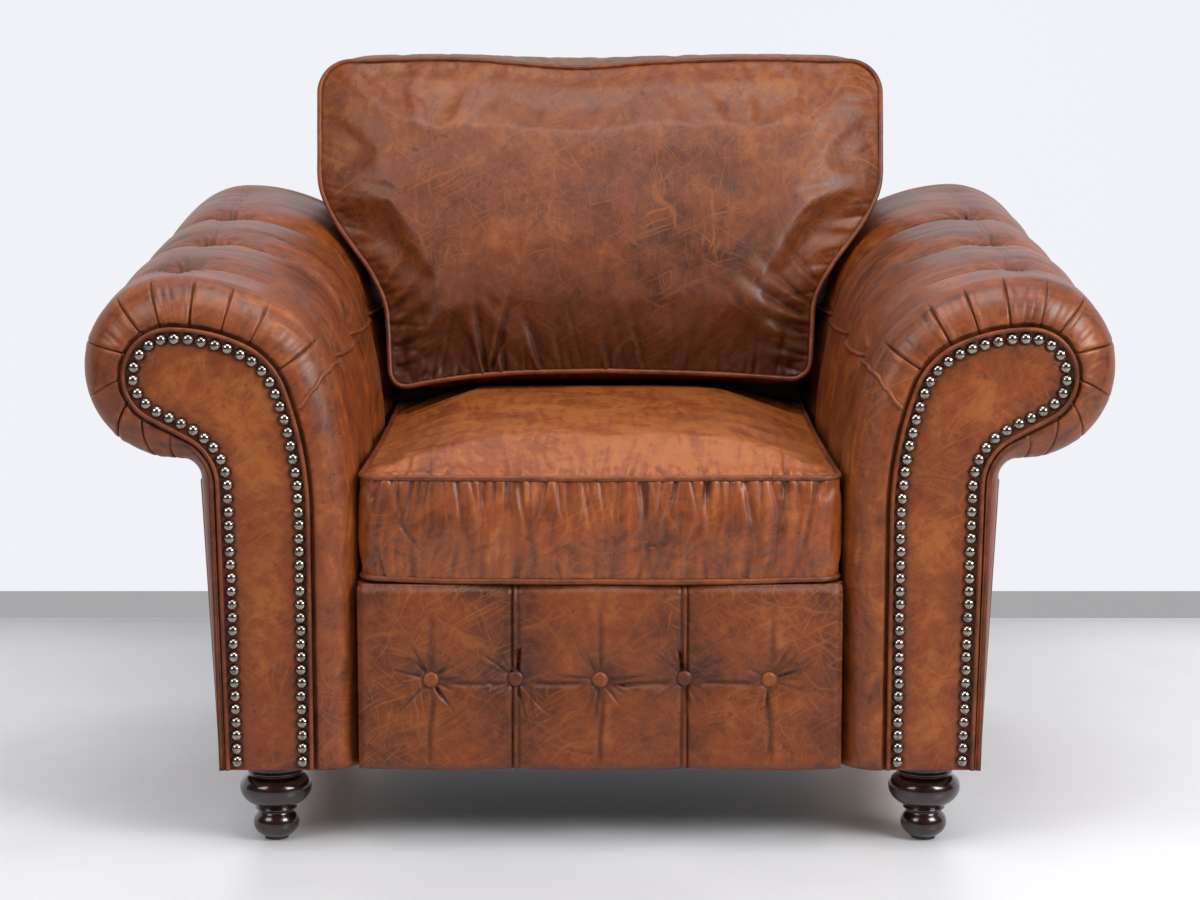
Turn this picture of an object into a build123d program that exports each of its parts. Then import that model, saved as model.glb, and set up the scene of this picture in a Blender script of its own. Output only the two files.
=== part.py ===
"""Leather armchair with rolled arms, loose seat and back cushions, nailed facings and turned feet.

Millimetres. +X is the sitter's left hand seen from the front, so the right-hand side of a front view,
+Y runs to the back and +Z up. The origin is the middle of the footprint, on the floor.
"""
from build123d import *
import math
import os

# Overall sizes
overall_depth = 860
back_top_z = 884
leg_height = 97
seat_opening = 562
soft_gap = 0.3

# Facing and arm outlines, seen from the front: a lean, a shoulder, a crest and a roll, all tangent arcs
lean_start_z = 396
lean_turn = 20
shoulder_turn = 45
crest_turn = 25
arm_lean_radius = 490
arm_shoulder_radius = 140
arm_crest_radius = 250
arm_roll_radius = 105
arm_roll_turn = 177
arm_under_length = 14
arm_neck_radius = 20
arm_neck_turn = 84.4
facing_margin = 51
facing_roll_radius = 57
facing_roll_turn = 152
facing_under_length = 48.7
facing_neck_radius = 60
facing_neck_turn = 61

# Arm, front to back
arm_depth = 784
arm_rise_share = 0.0875
ruffle_depth = 45
seam_depths = (135, 333, 539)
seam_inset = 9
tuft_radius = 26
tuft_depth = 7
rear_round_depth = 20
rear_round_inset = 9
cover_wall = 12
arm_foam_wall = 33

# Puffed band between two seams: where its sections stand, and how much of the seam's inset each has
puff_place_shares = (0, 0.12, 0.5, 0.88, 1)
puff_inset_shares = (1, 0.38, 0, 0.38, 1)
middle_share = 0.5
ruffle_angles = (0, 25, 50, 72, 90)

# Facing, its piping and nails
facing_recess = 3
facing_thickness = 8
facing_piping_radius = 2.5
board_thickness = 18
nail_head_radius = 6.6
nail_head_height = 4.4
nail_shank_radius = 1.1
nail_shank_length = 16
nail_pitch = 15.4
nail_margin = 13.5
nail_end_margin = 11

# Outside arm panel
outside_thickness = 3
outside_drop = 8

# Seat: deck, border and cushion
deck_top_z = 316
border_front = 5
border_thickness = 35
border_seam_x = 98
border_bulge = 6
border_crease_width = 3
border_crease_depth = 5
button_x_places = (-196, -98, 0, 98, 196)
button_z = 204
button_radius = 9.5
button_height = 7
button_stem_radius = 1.5
dimple_radius = 34
dimple_depth = 6
cushion_side_gap = 4
cushion_front_depth = 12
cushion_corner_radius = 24
cushion_draw = 5
cushion_front_bulge = 9
seat_boxing_top_z = 440
seat_boxing_puff = 3
seat_crown_rise = 35
seat_crown_rise_shares = (0.42, 0.72, 0.92, 1)
seat_crown_inset_shares = (0.1, 0.26, 0.5, 0.8)
cushion_wall = 8
cushion_piping_radius = 3.5
seat_zip_length = 430

# Back unit and back cushion
back_rake = 7
back_thickness = 91
back_bend_z = 300
back_half_width = 275
back_wing_half_width = 370
back_wing_start_z = 575
back_wing_full_z = 745
back_corner_radius = 45
back_wing_radius = 60
back_top_radius = 34
back_pad_thickness = 50
back_rim = 20
post_width = 35
post_thickness = 34
post_outer_x = 250
panel_thickness = 5
back_cushion_front_depth = 515
back_cushion_rake = 17
back_cushion_bottom_front_z = 479.6
back_cushion_bottom_rear_z = 463
back_cushion_top_z = 907
back_cushion_half_width = 272
back_cushion_waist_half_width = 277
back_cushion_wing_half_width = 376
back_cushion_waist_z = 590
back_cushion_wing_z = 730
back_cushion_rear_shrink = 6
back_cushion_draw = 5
back_crown_rise = 44
back_crown_rise_shares = (0.5, 0.85, 1)
back_crown_inset_shares = (0.05, 0.13, 0.25)
back_zip_length = 430
back_zip_z = 486

# Seat frame
rail_thickness = 22
rail_bottom_z = 112
rail_top_z = 300
block_leg = 60
bolt_radius = 4
bolt_head_radius = 10
bolt_head_height = 5
bolt_clearance = 0.5
bolt_depths = (215, 600)
bolt_z = 170
arm_rail_width = 22
arm_rail_height = 60
arm_top_rail_z = 545
arm_top_rail_inset = 56
arm_top_rail_width = 40
base_board_thickness = 18
dust_cover_thickness = 1.5

# Springs
spring_count = 5
spring_pitch = 104
spring_wire_radius = 1.9
spring_loop_reach = 14
spring_loop_count = 24
spring_bar = 18
clip_width = 16
clip_length = 14
clip_wall = 2

# Webbing
strap_width = 50
strap_thickness = 2
cross_straps_z = (430, 540, 650, 760)

# Zips
zip_groove_height = 14
zip_groove_depth = 6
zip_tape_thickness = 1.5
slider_length = 10
slider_height = 8
slider_thickness = 2.6
tab_length = 16
tab_height = 4
tab_thickness = 1

# Feet
foot_x = 384
foot_front_depth = 62
foot_rear_depth = 716
glide_radius = 14
glide_height = 3
collar_height = 10
collar_radius = 40
foot_base_radius = 16
small_bulb_radius = 27.5
small_bulb_z = 20
waist_radius = 22
waist_z = 36
big_bulb_radius = 43
big_bulb_z = 61
foot_neck_radius = 31
foot_neck_z = 80
hanger_radius = 5
hanger_in_foot = 50
nut_flange_radius = 12
nut_flange_height = 2

front_y = 2 * facing_piping_radius - facing_recess - overall_depth / 2
arm_inner_x = seat_opening / 2
facing_inner_x = arm_inner_x + facing_margin
arm_back_y = front_y + arm_depth
overrun = 30
back_panel_top_z = back_top_z - back_top_radius
back_lean = (back_panel_top_z - back_bend_z) * math.tan(math.radians(back_rake))
back_front_depth = overall_depth / 2 - front_y - back_thickness - back_lean
rear_rail_back_depth = back_front_depth + back_pad_thickness


def rise(y):
    """How much higher the arm's roll stands at y than at the front."""
    return (y - front_y) * arm_rise_share


def rolled_line(share, inset, lift, bottom):
    """Open outline of the rolled arm, up the inner face, over the roll and down the outer face.

    A share of 0 gives the facing's outline and 1 the arm's own, and inset draws either one inwards.
    """
    def between(facing_value, arm_value):
        return facing_value + (arm_value - facing_value) * share

    inner_x = between(facing_inner_x, arm_inner_x) + inset
    roll_radius = between(facing_roll_radius, arm_roll_radius) - inset
    roll_turn = between(facing_roll_turn, arm_roll_turn)
    with BuildLine() as outline:
        inner = Line((inner_x, bottom), (inner_x, lean_start_z + lift))
        lean_radius = between(arm_lean_radius - facing_margin, arm_lean_radius)
        lean = JernArc(inner @ 1, inner % 1, lean_radius - inset, -lean_turn)
        shoulder_radius = between(arm_shoulder_radius - facing_margin, arm_shoulder_radius)
        shoulder = JernArc(lean @ 1, lean % 1, shoulder_radius - inset, -shoulder_turn)
        crest_radius = between(arm_crest_radius - facing_margin, arm_crest_radius)
        crest = JernArc(shoulder @ 1, shoulder % 1, crest_radius - inset, -crest_turn)
        over = JernArc(crest @ 1, crest % 1, roll_radius, -roll_turn / 2)
        under = JernArc(over @ 1, over % 1, roll_radius, -roll_turn / 2)
        run = between(facing_under_length, arm_under_length)
        tuck = Line(under @ 1, under @ 1 + (under % 1) * run)
        neck_radius = between(facing_neck_radius, arm_neck_radius) + inset
        neck_turn = between(facing_neck_turn, arm_neck_turn)
        neck = JernArc(tuck @ 1, tuck % 1, neck_radius, neck_turn)
        fall = neck % 1
        outer = Line(neck @ 1, neck @ 1 + fall * (((neck @ 1).Y - bottom) / -fall.Y))
    return outline.wire()


def rolled_section(y, share, inset, lift=None, bottom=leg_height):
    """Closed section of the rolled arm in the plane at y."""
    line = rolled_line(share, inset, rise(y) if lift is None else lift, bottom)
    with BuildSketch(Plane.XZ.offset(-y)) as section:
        with BuildLine():
            add(line)
            Line(line @ 1, line @ 0)
        make_face()
    return section.sketch


def save(part, name):
    """Label one finished piece and write it."""
    part.label = name
    export_step(part, f"parts/{name}.step")


def save_pair(part, name):
    """Write the right-hand piece and its mirror image."""
    with BuildPart() as left:
        mirror(part, about=Plane.YZ)
    save(part, f"{name}_right")
    save(left.part, f"{name}_left")


def tube_along(wire, radius):
    """Round cord that follows a wire."""
    with BuildPart() as cord:
        with BuildSketch(Plane(origin=wire @ 0, z_dir=wire % 0)):
            Circle(radius)
        sweep(path=wire)
    return cord.part


def block(x_span, y_span, z_span):
    """Board or rail between two corners, outside any builder."""
    with BuildPart() as piece:
        with BuildSketch(Plane.XY.offset(z_span[0])):
            with Locations((sum(x_span) / 2, sum(y_span) / 2)):
                Rectangle(x_span[1] - x_span[0], y_span[1] - y_span[0])
        extrude(amount=z_span[1] - z_span[0])
    return piece.part


def depth(distance):
    """Place along Y of a distance behind the facings' front."""
    return front_y + distance


os.makedirs("parts", exist_ok=True)

# Arm cover: one puffed band between each pair of seams, the front one gathered round the facing
board_back = facing_recess + facing_thickness + soft_gap + board_thickness
seam_ys = [depth(seam) for seam in seam_depths]
rear_round_y = arm_back_y - rear_round_depth
with BuildPart() as arm_cover:
    ruffle = [rolled_section(front_y + ruffle_depth * (1 - math.cos(math.radians(angle))),
                             math.sin(math.radians(angle)), 0) for angle in ruffle_angles]
    loft(ruffle)
    band_ends = [front_y + ruffle_depth] + seam_ys + [rear_round_y]
    for start_y, end_y in zip(band_ends, band_ends[1:]):
        sections = []
        for place, inset in zip(puff_place_shares, puff_inset_shares):
            at_ruffle = start_y == band_ends[0] and place < middle_share
            at_outer_end = at_ruffle or (end_y == band_ends[-1] and place > middle_share)
            y = start_y + (end_y - start_y) * place
            sections.append(rolled_section(y, 1, 0 if at_outer_end else seam_inset * inset))
        loft(sections)
    loft([rolled_section(rear_round_y, 1, 0), rolled_section(arm_back_y, 1, rear_round_inset)])
    tuft_cap_radius = (tuft_radius ** 2 + tuft_depth ** 2) / (2 * tuft_depth)
    for y in seam_ys:
        top = rolled_line(1, seam_inset, rise(y), leg_height).vertices().sort_by(Axis.Y)[-1]
        with Locations((top.X, y, top.Y + tuft_cap_radius - tuft_depth)):
            Sphere(tuft_cap_radius, mode=Mode.SUBTRACT)
    extrude(rolled_section(front_y, 0, 0, lift=0), amount=board_back, dir=(0, 1, 0), mode=Mode.SUBTRACT)
    hollow = [rolled_section(y, 1, cover_wall) for y in (depth(board_back), arm_back_y)]
    loft(hollow, ruled=True, mode=Mode.SUBTRACT)
    bolt_holes = [Location((arm_inner_x, depth(place), bolt_z), (0, 90, 0)) for place in bolt_depths]
    bolt_hole_length = 2 * (arm_foam_wall + cover_wall) + overrun
    with Locations(bolt_holes):
        Cylinder(bolt_radius + bolt_clearance, bolt_hole_length, mode=Mode.SUBTRACT)
save_pair(arm_cover.part, "arm_cover")

# Foam under the cover, hollow for the arm's timber
foam_front_y = depth(board_back) + soft_gap
rear_board_back_y = arm_back_y - facing_thickness - soft_gap
rear_board_front_y = rear_board_back_y - board_thickness
foam_back_y = rear_board_front_y - soft_gap
foam_bottom = leg_height + base_board_thickness + soft_gap
foam_inset = cover_wall + soft_gap
with BuildPart() as arm_foam:
    foam = [rolled_section(y, 1, foam_inset, bottom=foam_bottom) for y in (foam_front_y, foam_back_y)]
    loft(foam, ruled=True)
    hollow_ys = (foam_front_y - overrun, foam_back_y + overrun)
    hollow = [rolled_section(y, 1, foam_inset + arm_foam_wall, bottom=leg_height) for y in hollow_ys]
    loft(hollow, ruled=True, mode=Mode.SUBTRACT)
    with Locations(bolt_holes):
        Cylinder(bolt_radius + bolt_clearance, bolt_hole_length, mode=Mode.SUBTRACT)
save_pair(arm_foam.part, "arm_foam")

# Facing: padded panel inside the gathers, with piping round its edge and a row of domed nails
facing_front_y = depth(facing_recess)
with BuildPart() as arm_facing:
    extrude(rolled_section(facing_front_y, 0, soft_gap, lift=0), amount=facing_thickness, dir=(0, 1, 0))
    nail_line = rolled_line(0, nail_margin, 0, leg_height)
    nail_run = nail_line.length - 2 * nail_end_margin
    nail_count = round(nail_run / nail_pitch)
    nail_points = [nail_line @ ((nail_end_margin + nail_run * step / nail_count) / nail_line.length)
                   for step in range(nail_count + 1)]
    with Locations(Plane.XZ.offset(-facing_front_y)):
        with Locations([(point.X, point.Y) for point in nail_points]):
            Cylinder(nail_shank_radius, 2 * facing_thickness + soft_gap, mode=Mode.SUBTRACT)
save_pair(arm_facing.part, "arm_facing")

piping_line = rolled_line(0, facing_piping_radius + soft_gap, 0, leg_height)
piping_plane = Plane.XZ.offset(-(facing_front_y - facing_piping_radius))
save_pair(tube_along(piping_plane * piping_line, facing_piping_radius), "arm_facing_piping")

nail_cap_radius = (nail_head_radius ** 2 + nail_head_height ** 2) / (2 * nail_head_height)
with BuildPart() as nail:
    with BuildSketch():
        with BuildLine():
            stem = Polyline((0, nail_shank_length),
                            (nail_shank_radius, nail_shank_length - nail_shank_radius),
                            (nail_shank_radius, 0), (nail_head_radius, 0))
            RadiusArc(stem @ 1, (0, -nail_head_height), nail_cap_radius)
            Line((0, -nail_head_height), (0, nail_shank_length))
        make_face()
    revolve(axis=Axis.Y)
with BuildPart() as arm_nails:
    with Locations([(point.X, facing_front_y, point.Y) for point in nail_points]):
        add(nail.part)
save_pair(arm_nails.part, "arm_nails")

# Arm timber: front and rear boards, three rails between them and the base board over the feet
with BuildPart() as arm_front_board:
    board_front_y = facing_front_y + facing_thickness + soft_gap
    extrude(rolled_section(board_front_y, 0, soft_gap, lift=0), amount=board_thickness, dir=(0, 1, 0))
    with Locations(Plane.XZ.offset(-board_front_y)):
        with Locations([(point.X, point.Y) for point in nail_points]):
            Cylinder(nail_shank_radius, 2 * nail_shank_length, mode=Mode.SUBTRACT)
save_pair(arm_front_board.part, "arm_front_board")

with BuildPart() as arm_rear_board:
    loft([rolled_section(y, 1, foam_inset) for y in (rear_board_front_y, rear_board_back_y)], ruled=True)
save_pair(arm_rear_board.part, "arm_rear_board")

with BuildPart() as rear_facing:
    rear_facing_ys = (rear_board_back_y, rear_board_back_y + facing_thickness)
    loft([rolled_section(y, 1, foam_inset) for y in rear_facing_ys], ruled=True)
save_pair(rear_facing.part, "rear_facing")

hollow_inner_x = arm_inner_x + foam_inset + arm_foam_wall
rear_rise = rise(arm_back_y)
hollow_outer_x = (rolled_line(1, foam_inset + arm_foam_wall, rear_rise, leg_height) @ 1).X
board_outer_x = (rolled_line(1, foam_inset, rear_rise, leg_height) @ 1).X
base_board_top_z = leg_height + base_board_thickness
rail_span_y = (depth(board_back), rear_board_front_y)
low_rail_z = (bolt_z - arm_rail_height / 2, bolt_z + arm_rail_height / 2)
top_rail_x = (hollow_inner_x + arm_top_rail_inset, hollow_inner_x + arm_top_rail_inset + arm_top_rail_width)
with BuildPart() as arm_rails:
    add(block((hollow_inner_x + soft_gap, hollow_inner_x + arm_rail_width), rail_span_y, low_rail_z))
    add(block((hollow_outer_x - arm_rail_width, hollow_outer_x - soft_gap), rail_span_y, low_rail_z))
    add(block(top_rail_x, rail_span_y, (arm_top_rail_z, arm_top_rail_z + arm_rail_width)))
    with Locations(bolt_holes):
        Cylinder(bolt_radius, bolt_hole_length + 2 * arm_rail_width, mode=Mode.SUBTRACT)
save_pair(arm_rails.part, "arm_rails")

foot_spots = [(x, depth(place)) for x in (foot_x, -foot_x) for place in (foot_front_depth, foot_rear_depth)]
with BuildPart() as arm_base_board:
    base_x = (arm_inner_x + foam_inset, board_outer_x)
    add(block(base_x, (depth(board_back), rear_board_front_y), (leg_height, base_board_top_z)))
    with Locations([(x, y, leg_height) for x, y in foot_spots if x > 0]):
        Cylinder(hanger_radius, 2 * base_board_thickness + overrun, mode=Mode.SUBTRACT)
save_pair(arm_base_board.part, "arm_base_board")

# Outside arm panel, under the roll
def outside_section(y):
    """Four-sided slice of the outside panel at y, against the arm cover's outer side."""
    outer = rolled_line(1, 0, rise(y), leg_height).edges()[-1]
    side = outer % 1
    away = Vector(-side.Y, side.X)
    top = outer @ 0 + side * outside_drop + away * soft_gap
    foot = outer @ 1 + away * soft_gap
    with BuildSketch(Plane.XZ.offset(-y)) as section:
        with BuildLine():
            Polyline(top, foot, foot + away * outside_thickness, top + away * outside_thickness, close=True)
        make_face()
    return section.sketch


with BuildPart() as outside_arm:
    loft([outside_section(y) for y in (depth(ruffle_depth), rear_round_y)], ruled=True)
save_pair(outside_arm.part, "outside_arm")

# Front border between the arms: two welted seams, a crown between them and five covered buttons
border_half = arm_inner_x - soft_gap
border_back_y = depth(border_front + border_thickness)
border_face_y = depth(border_front)
seam_half = border_crease_width / 2
with BuildPart() as front_border:
    with BuildSketch(Plane.XY.offset(leg_height)):
        with BuildLine():
            back = Line((border_half, border_back_y), (-border_half, border_back_y))
            sides = ((-border_half, -border_seam_x - seam_half),
                     (-border_seam_x + seam_half, border_seam_x - seam_half),
                     (border_seam_x + seam_half, border_half))
            corner = back @ 1
            for start_x, end_x in sides:
                rise_line = Line(corner, (start_x, border_face_y))
                swell = SagittaArc(rise_line @ 1, (end_x, border_face_y), -border_bulge)
                corner = Vector(end_x + seam_half, border_face_y + border_crease_depth)
                if end_x < border_half:
                    Line(swell @ 1, corner)
            Line((border_half, border_face_y), back @ 0)
        make_face()
    extrude(amount=deck_top_z - leg_height)
    dimple_cap_radius = (dimple_radius ** 2 + dimple_depth ** 2) / (2 * dimple_depth)
    dimple_front_y = {x: border_face_y - (0 if abs(x) == border_seam_x else border_bulge)
                      for x in button_x_places}
    for x in button_x_places:
        with Locations((x, dimple_front_y[x] + dimple_depth - dimple_cap_radius, button_z)):
            Sphere(dimple_cap_radius, mode=Mode.SUBTRACT)
        with Locations(Location((x, dimple_front_y[x] + soft_gap, button_z), (90, 0, 0))):
            Cylinder(button_radius + soft_gap, 2 * dimple_depth, mode=Mode.SUBTRACT)
            Cylinder(button_stem_radius + soft_gap, 2 * border_thickness + overrun, mode=Mode.SUBTRACT)
save(front_border.part, "front_border")

button_cap_radius = (button_radius ** 2 + button_height ** 2) / (2 * button_height)
with BuildPart() as front_border_buttons:
    for x in button_x_places:
        seat_y = dimple_front_y[x] + dimple_depth + soft_gap
        with BuildSketch(Plane.XY.offset(button_z)):
            with BuildLine():
                stem = Polyline((x, border_back_y), (x + button_stem_radius, border_back_y),
                                (x + button_stem_radius, seat_y), (x + button_radius, seat_y))
                RadiusArc(stem @ 1, (x, seat_y - button_height), button_cap_radius)
                Line((x, seat_y - button_height), (x, border_back_y))
            make_face()
        revolve(axis=Axis((x, seat_y, button_z), (0, 1, 0)))
save(front_border_buttons.part, "front_border_buttons")

# Seat frame
front_rail_y = (border_back_y, border_back_y + rail_thickness)
rear_rail_y = (depth(rear_rail_back_depth) - rail_thickness, depth(rear_rail_back_depth))
rail_z = (rail_bottom_z, rail_top_z)
rail_x = arm_inner_x - 2 * soft_gap
with BuildPart() as frame_front_rail:
    add(block((-rail_x, rail_x), front_rail_y, rail_z))
save(frame_front_rail.part, "frame_front_rail")
with BuildPart() as frame_rear_rail:
    add(block((-rail_x, rail_x), rear_rail_y, rail_z))
save(frame_rear_rail.part, "frame_rear_rail")

side_rail_x = (rail_x - rail_thickness, rail_x)
with BuildPart() as seat_side_rail:
    add(block(side_rail_x, (front_rail_y[1], rear_rail_y[0]), rail_z))
    with Locations(bolt_holes):
        Cylinder(bolt_radius, 2 * (arm_foam_wall + cover_wall), mode=Mode.SUBTRACT)
save_pair(seat_side_rail.part, "seat_side_rail")

with BuildPart() as frame_corner_blocks:
    with BuildSketch(Plane.XY.offset(rail_bottom_z)):
        for side in (1, -1):
            for corner_y, inward in ((front_rail_y[1], 1), (rear_rail_y[0], -1)):
                with BuildLine():
                    corner_x = side * side_rail_x[0]
                    Polyline((corner_x, corner_y), (corner_x - side * block_leg, corner_y),
                             (corner_x, corner_y + inward * block_leg), close=True)
                make_face()
    extrude(amount=arm_rail_height)
save(frame_corner_blocks.part, "frame_corner_blocks")

bolt_head_x = side_rail_x[0]
with BuildPart() as arm_bolts:
    for side in (1, -1):
        for place in bolt_depths:
            with BuildSketch(Plane.YZ.offset(side * bolt_head_x)):
                with Locations((depth(place), bolt_z)):
                    Circle(bolt_radius)
            extrude(amount=side * (hollow_inner_x + arm_rail_width - bolt_head_x))
            with BuildSketch(Plane.YZ.offset(side * bolt_head_x)):
                with Locations((depth(place), bolt_z)):
                    Circle(bolt_head_radius)
            extrude(amount=-side * bolt_head_height)
save(arm_bolts.part, "arm_bolts")

with BuildPart() as dust_cover:
    dust_z = (rail_bottom_z - soft_gap - dust_cover_thickness, rail_bottom_z - soft_gap)
    add(block((-rail_x, rail_x), (border_back_y + soft_gap, rear_rail_y[1]), dust_z))
save(dust_cover.part, "dust_cover")

# Sinuous springs, one flat serpentine wire each, held by clips on the two rails
spring_z = rail_top_z + spring_wire_radius + soft_gap
spring_span = (front_rail_y[1] - rail_thickness / 2, rear_rail_y[0] + rail_thickness / 2)
spring_bend_radius = (spring_span[1] - spring_span[0] - 2 * spring_bar) / (2 * (spring_loop_count + 1))
with BuildPart() as seat_springs:
    for place in range(spring_count):
        x = (place - (spring_count - 1) / 2) * spring_pitch
        with BuildLine(Plane.XY.offset(spring_z)) as serpentine:
            bar = Line((x, spring_span[0]), (x, spring_span[0] + spring_bar))
            bend = JernArc(bar @ 1, bar % 1, spring_bend_radius, -90)
            for turn in range(spring_loop_count):
                reach = spring_loop_reach * (1 if turn == 0 else 2)
                cross = Line(bend @ 1, bend @ 1 + (bend % 1) * reach)
                bend = JernArc(cross @ 1, cross % 1, spring_bend_radius, 180 if turn % 2 == 0 else -180)
            cross = Line(bend @ 1, bend @ 1 + (bend % 1) * spring_loop_reach)
            bend = JernArc(cross @ 1, cross % 1, spring_bend_radius, 90)
            Line(bend @ 1, bend @ 1 + (bend % 1) * spring_bar)
        with BuildSketch(Plane(origin=(x, spring_span[0], spring_z), z_dir=(0, 1, 0))):
            Circle(spring_wire_radius)
        sweep(path=serpentine.wire())
save(seat_springs.part, "seat_springs")

with BuildPart() as seat_spring_clips:
    clip_top_z = spring_z + spring_wire_radius + soft_gap + clip_wall
    clip_reach = clip_width / 2
    wire_room = spring_wire_radius + soft_gap
    for place in range(spring_count):
        x = (place - (spring_count - 1) / 2) * spring_pitch
        for front_of_clip in (spring_span[0], spring_span[1] - clip_length):
            with BuildSketch(Plane.XZ.offset(-front_of_clip)):
                with BuildLine():
                    shell = Polyline((x - wire_room, spring_z), (x - wire_room, rail_top_z),
                                     (x - clip_reach, rail_top_z), (x - clip_reach, clip_top_z),
                                     (x + clip_reach, clip_top_z), (x + clip_reach, rail_top_z),
                                     (x + wire_room, rail_top_z), (x + wire_room, spring_z))
                    ThreePointArc(shell @ 0, (x, spring_z + wire_room), shell @ 1)
                make_face()
            extrude(amount=-clip_length)
save(seat_spring_clips.part, "seat_spring_clips")

# Deck over the springs, with room for the clips
deck_y = (border_back_y + soft_gap, depth(back_front_depth))
deck_bottom_z = spring_z + spring_wire_radius + soft_gap
with BuildPart() as seat_deck:
    add(block((-rail_x, rail_x), deck_y, (deck_bottom_z, deck_top_z)))
    for place in range(spring_count):
        x = (place - (spring_count - 1) / 2) * spring_pitch
        for end_y in (spring_span[0] + clip_length / 2, spring_span[1] - clip_length / 2):
            with Locations((x, end_y, deck_bottom_z)):
                pocket_height = 2 * (clip_top_z - deck_bottom_z + soft_gap)
                Box(clip_width + 2 * soft_gap, clip_length + 2 * soft_gap, pocket_height,
                    mode=Mode.SUBTRACT)
save(seat_deck.part, "seat_deck")


# Back unit: everything that leans is drawn in planes tilted by the rake
def raked_plane(front_depth, rake, at_z, forward=0):
    """Plane facing forward, tilted back by rake, through the given depth at height at_z."""
    lean = math.radians(rake)
    normal = Vector(0, -math.cos(lean), math.sin(lean))
    start = Vector(0, depth(front_depth) - at_z * math.tan(lean), 0)
    return Plane(origin=start + normal * forward, x_dir=(1, 0, 0), z_dir=normal)


def along(z, rake):
    """Distance up a raked plane to a height."""
    return z / math.cos(math.radians(rake))


def leaning_strip(near, far, bottom_z, top_z, half_x):
    """Side profile of a slab between two depths, upright below the bend and raked above it."""
    tilt = math.tan(math.radians(back_rake))
    def lean_y(place, z):
        return depth(back_front_depth + place) + max(0, z - back_bend_z) * tilt
    with BuildPart() as strip:
        with BuildSketch(Plane.YZ):
            with BuildLine():
                levels = [bottom_z] + ([back_bend_z] if bottom_z < back_bend_z else []) + [top_z]
                rising = [(lean_y(near, z), z) for z in levels]
                falling = [(lean_y(far, z), z) for z in reversed(levels)]
                Polyline(rising + falling, close=True)
            make_face()
        extrude(amount=half_x, both=True)
    return strip.part


def back_front_view(inset, bottom_z, top_z):
    """Front view of the back unit, narrow between the arms and wide above them, cut along Y."""
    with BuildPart() as view:
        with BuildSketch(Plane.XZ):
            with BuildLine():
                points = [(back_half_width - inset, bottom_z),
                          (back_half_width - inset, back_wing_start_z),
                          (back_wing_half_width - inset, back_wing_full_z),
                          (back_wing_half_width - inset, top_z)]
                Polyline(points + [(-x, z) for x, z in reversed(points)], close=True)
            make_face()
            corners = vertices().group_by(Axis.Y)
            fillet(corners[-1], back_corner_radius - inset)
            bends = vertices().filter_by(lambda v: back_wing_start_z <= v.Y <= back_wing_full_z)
            fillet(bends, back_wing_radius)
        extrude(amount=overall_depth, both=True)
    return view.part


pad_bottom_z = deck_top_z + soft_gap
post_near = back_pad_thickness
post_far = post_near + post_thickness
pocket_top_z = back_top_z - back_top_radius - back_rim / 2
pocket_near = post_near - strap_thickness - 2 * soft_gap
with BuildPart() as pad_hollow:
    add(leaning_strip(pocket_near, back_thickness + overrun, pad_bottom_z - overrun, pocket_top_z,
                      back_wing_half_width))
    add(back_front_view(back_rim, pad_bottom_z - overrun, pocket_top_z), mode=Mode.INTERSECT)
with BuildPart() as inside_back_pad:
    add(leaning_strip(0, back_thickness - panel_thickness - soft_gap, pad_bottom_z, back_top_z,
                      back_wing_half_width))
    fillet(edges().filter_by(Axis.X).group_by(Axis.Z)[-1], back_top_radius)
    add(back_front_view(0, pad_bottom_z, back_top_z), mode=Mode.INTERSECT)
    add(pad_hollow.part, mode=Mode.SUBTRACT)
save(inside_back_pad.part, "inside_back_pad")

with BuildPart() as outside_back_panel:
    panel_near = back_thickness - panel_thickness
    add(leaning_strip(panel_near, back_thickness, leg_height, back_panel_top_z, back_wing_half_width))
    add(back_front_view(0, leg_height, back_panel_top_z), mode=Mode.INTERSECT)
save(outside_back_panel.part, "outside_back_panel")

with BuildPart() as back_post:
    add(leaning_strip(post_near, post_far, rail_bottom_z, pocket_top_z - soft_gap, back_wing_half_width))
    add(block((post_outer_x - post_width, post_outer_x), (front_y, -front_y), (0, back_top_z)),
        mode=Mode.INTERSECT)
save_pair(back_post.part, "back_post")

# Cross rails between the posts, and the wings' rails and uprights beside them
post_inner_x = post_outer_x - post_width
wing_x = back_wing_half_width - back_rim - 2 * soft_gap
cross_levels = ((pocket_top_z - soft_gap - arm_rail_height, pocket_top_z - soft_gap),
                (back_wing_full_z, back_wing_full_z + arm_rail_width),
                (deck_top_z + arm_rail_height, deck_top_z + 2 * arm_rail_height))
stub_x = (post_outer_x, wing_x - arm_rail_height)
with BuildPart() as wing_rails:
    for low_z, high_z in cross_levels[:2]:
        add(leaning_strip(post_near, post_far, low_z, high_z, stub_x[1]))
    add(block(stub_x, (front_y, -front_y), (0, back_top_z)), mode=Mode.INTERSECT)
with BuildPart() as back_cross_rails:
    for low_z, high_z in cross_levels:
        add(leaning_strip(post_near, post_far, low_z, high_z, post_inner_x))
    add(wing_rails.part)
    mirror(wing_rails.part, about=Plane.YZ)
save(back_cross_rails.part, "back_cross_rails")

with BuildPart() as back_webbing:
    for z in cross_straps_z:
        add(leaning_strip(post_near - strap_thickness, post_near, z - strap_width / 2, z + strap_width / 2,
                          post_outer_x))
save(back_webbing.part, "back_webbing")


# Seat cushion: boxed, drawn in at the sides, crowned on top
cushion_half = arm_inner_x - cushion_side_gap
cushion_bottom_z = deck_top_z + soft_gap
cushion_rear_y = depth(back_front_depth) - soft_gap - cushion_piping_radius


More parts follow.
